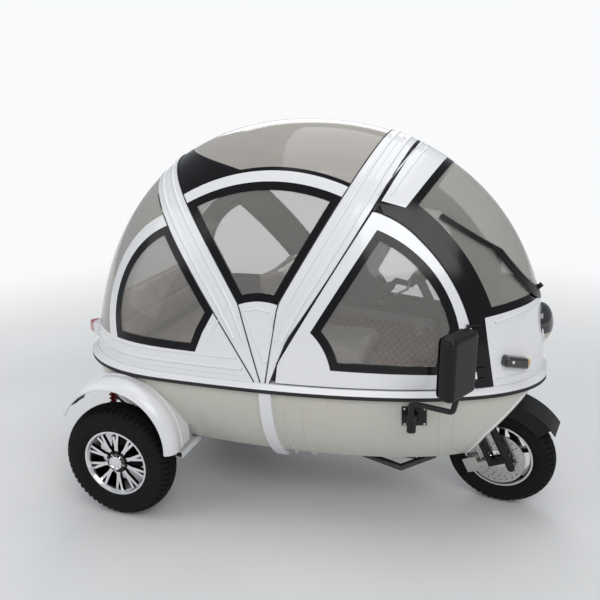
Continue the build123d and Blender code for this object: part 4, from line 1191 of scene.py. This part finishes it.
def panel_light(name, place, aim, size, watts):
    """Rectangular studio light."""
    data = bpy.data.lights.new(name, "AREA")
    data.shape, data.size, data.size_y = "RECTANGLE", *size
    data.energy = watts
    made = bpy.data.objects.new(name, data)
    made.matrix_world = Matrix.Translation(place) @ (
        Vector(place) - Vector(aim)).to_track_quat("Z", "Y").to_matrix().to_4x4()
    bpy.context.scene.collection.objects.link(made)


def seen_directly(add, link):
    """1 for camera, mirror and glass rays."""
    rays = add("LightPath")
    total = maths(add, link, "MAXIMUM", rays.outputs["Is Camera Ray"], rays.outputs["Is Glossy Ray"])
    return maths(add, link, "MAXIMUM", total, rays.outputs["Is Transmission Ray"])


def stage():
    """Pale floor, soft studio light and a white world."""
    for name, light in LIGHTS.items():
        panel_light(name, *light)

    world = bpy.data.worlds.new("studio")
    bpy.context.scene.world = world
    world.use_nodes = True
    tree = world.node_tree
    tree.nodes.clear()
    out = tree.nodes.new("ShaderNodeOutputWorld")
    blend = tree.nodes.new("ShaderNodeMixShader")
    soft, white = tree.nodes.new("ShaderNodeBackground"), tree.nodes.new("ShaderNodeBackground")
    soft.inputs["Color"].default_value = SKY
    soft.inputs["Strength"].default_value = 0.5
    white.inputs["Color"].default_value = HORIZON
    rays = tree.nodes.new("ShaderNodeLightPath")
    tree.links.new(rays.outputs["Is Camera Ray"], blend.inputs[0])
    tree.links.new(soft.outputs[0], blend.inputs[1])
    tree.links.new(white.outputs[0], blend.inputs[2])
    tree.links.new(blend.outputs[0], out.inputs[0])

    made, shader, add, link = recipe("floor", (0.74, 0.74, 0.74), 0.55)
    where, split = place_nodes(add, link)
    cloud = noise(add, link, where, 1.4)
    tone = mixed(add, link, cloud, (0.70, 0.70, 0.70), (0.80, 0.80, 0.80))
    link(tone, shader.inputs["Base Color"])
    glow = add("Emission", Color=HORIZON)
    away = add("MapRange", interpolation_type="SMOOTHSTEP", From_Min=FADE_FROM, From_Max=FADE_TO)
    link(from_point(add, link, split, (0, 0, 0), "XY"), away.inputs[0])
    share = maths(add, link, "MULTIPLY", away, seen_directly(add, link))
    blend = add("MixShader")
    link(share, blend.inputs[0])
    link(shader, blend.inputs[1])
    link(glow, blend.inputs[2])
    link(blend, made.node_tree.nodes["Material Output"].inputs[0])
    bpy.ops.mesh.primitive_plane_add(size=2 * FLOOR_HALF)
    floor = bpy.context.object
    floor.name = "floor"
    floor.data.materials.append(made)
    bpy.context.scene.view_settings.view_transform = "Standard"


hoops()
panels()
header()
hull()
rear_wheels()
front_wheel()
fenders()
springs()
frame_ends()
mirrors()
lamps()
controls()
cabin_lining()
seats()
camera()
stage()
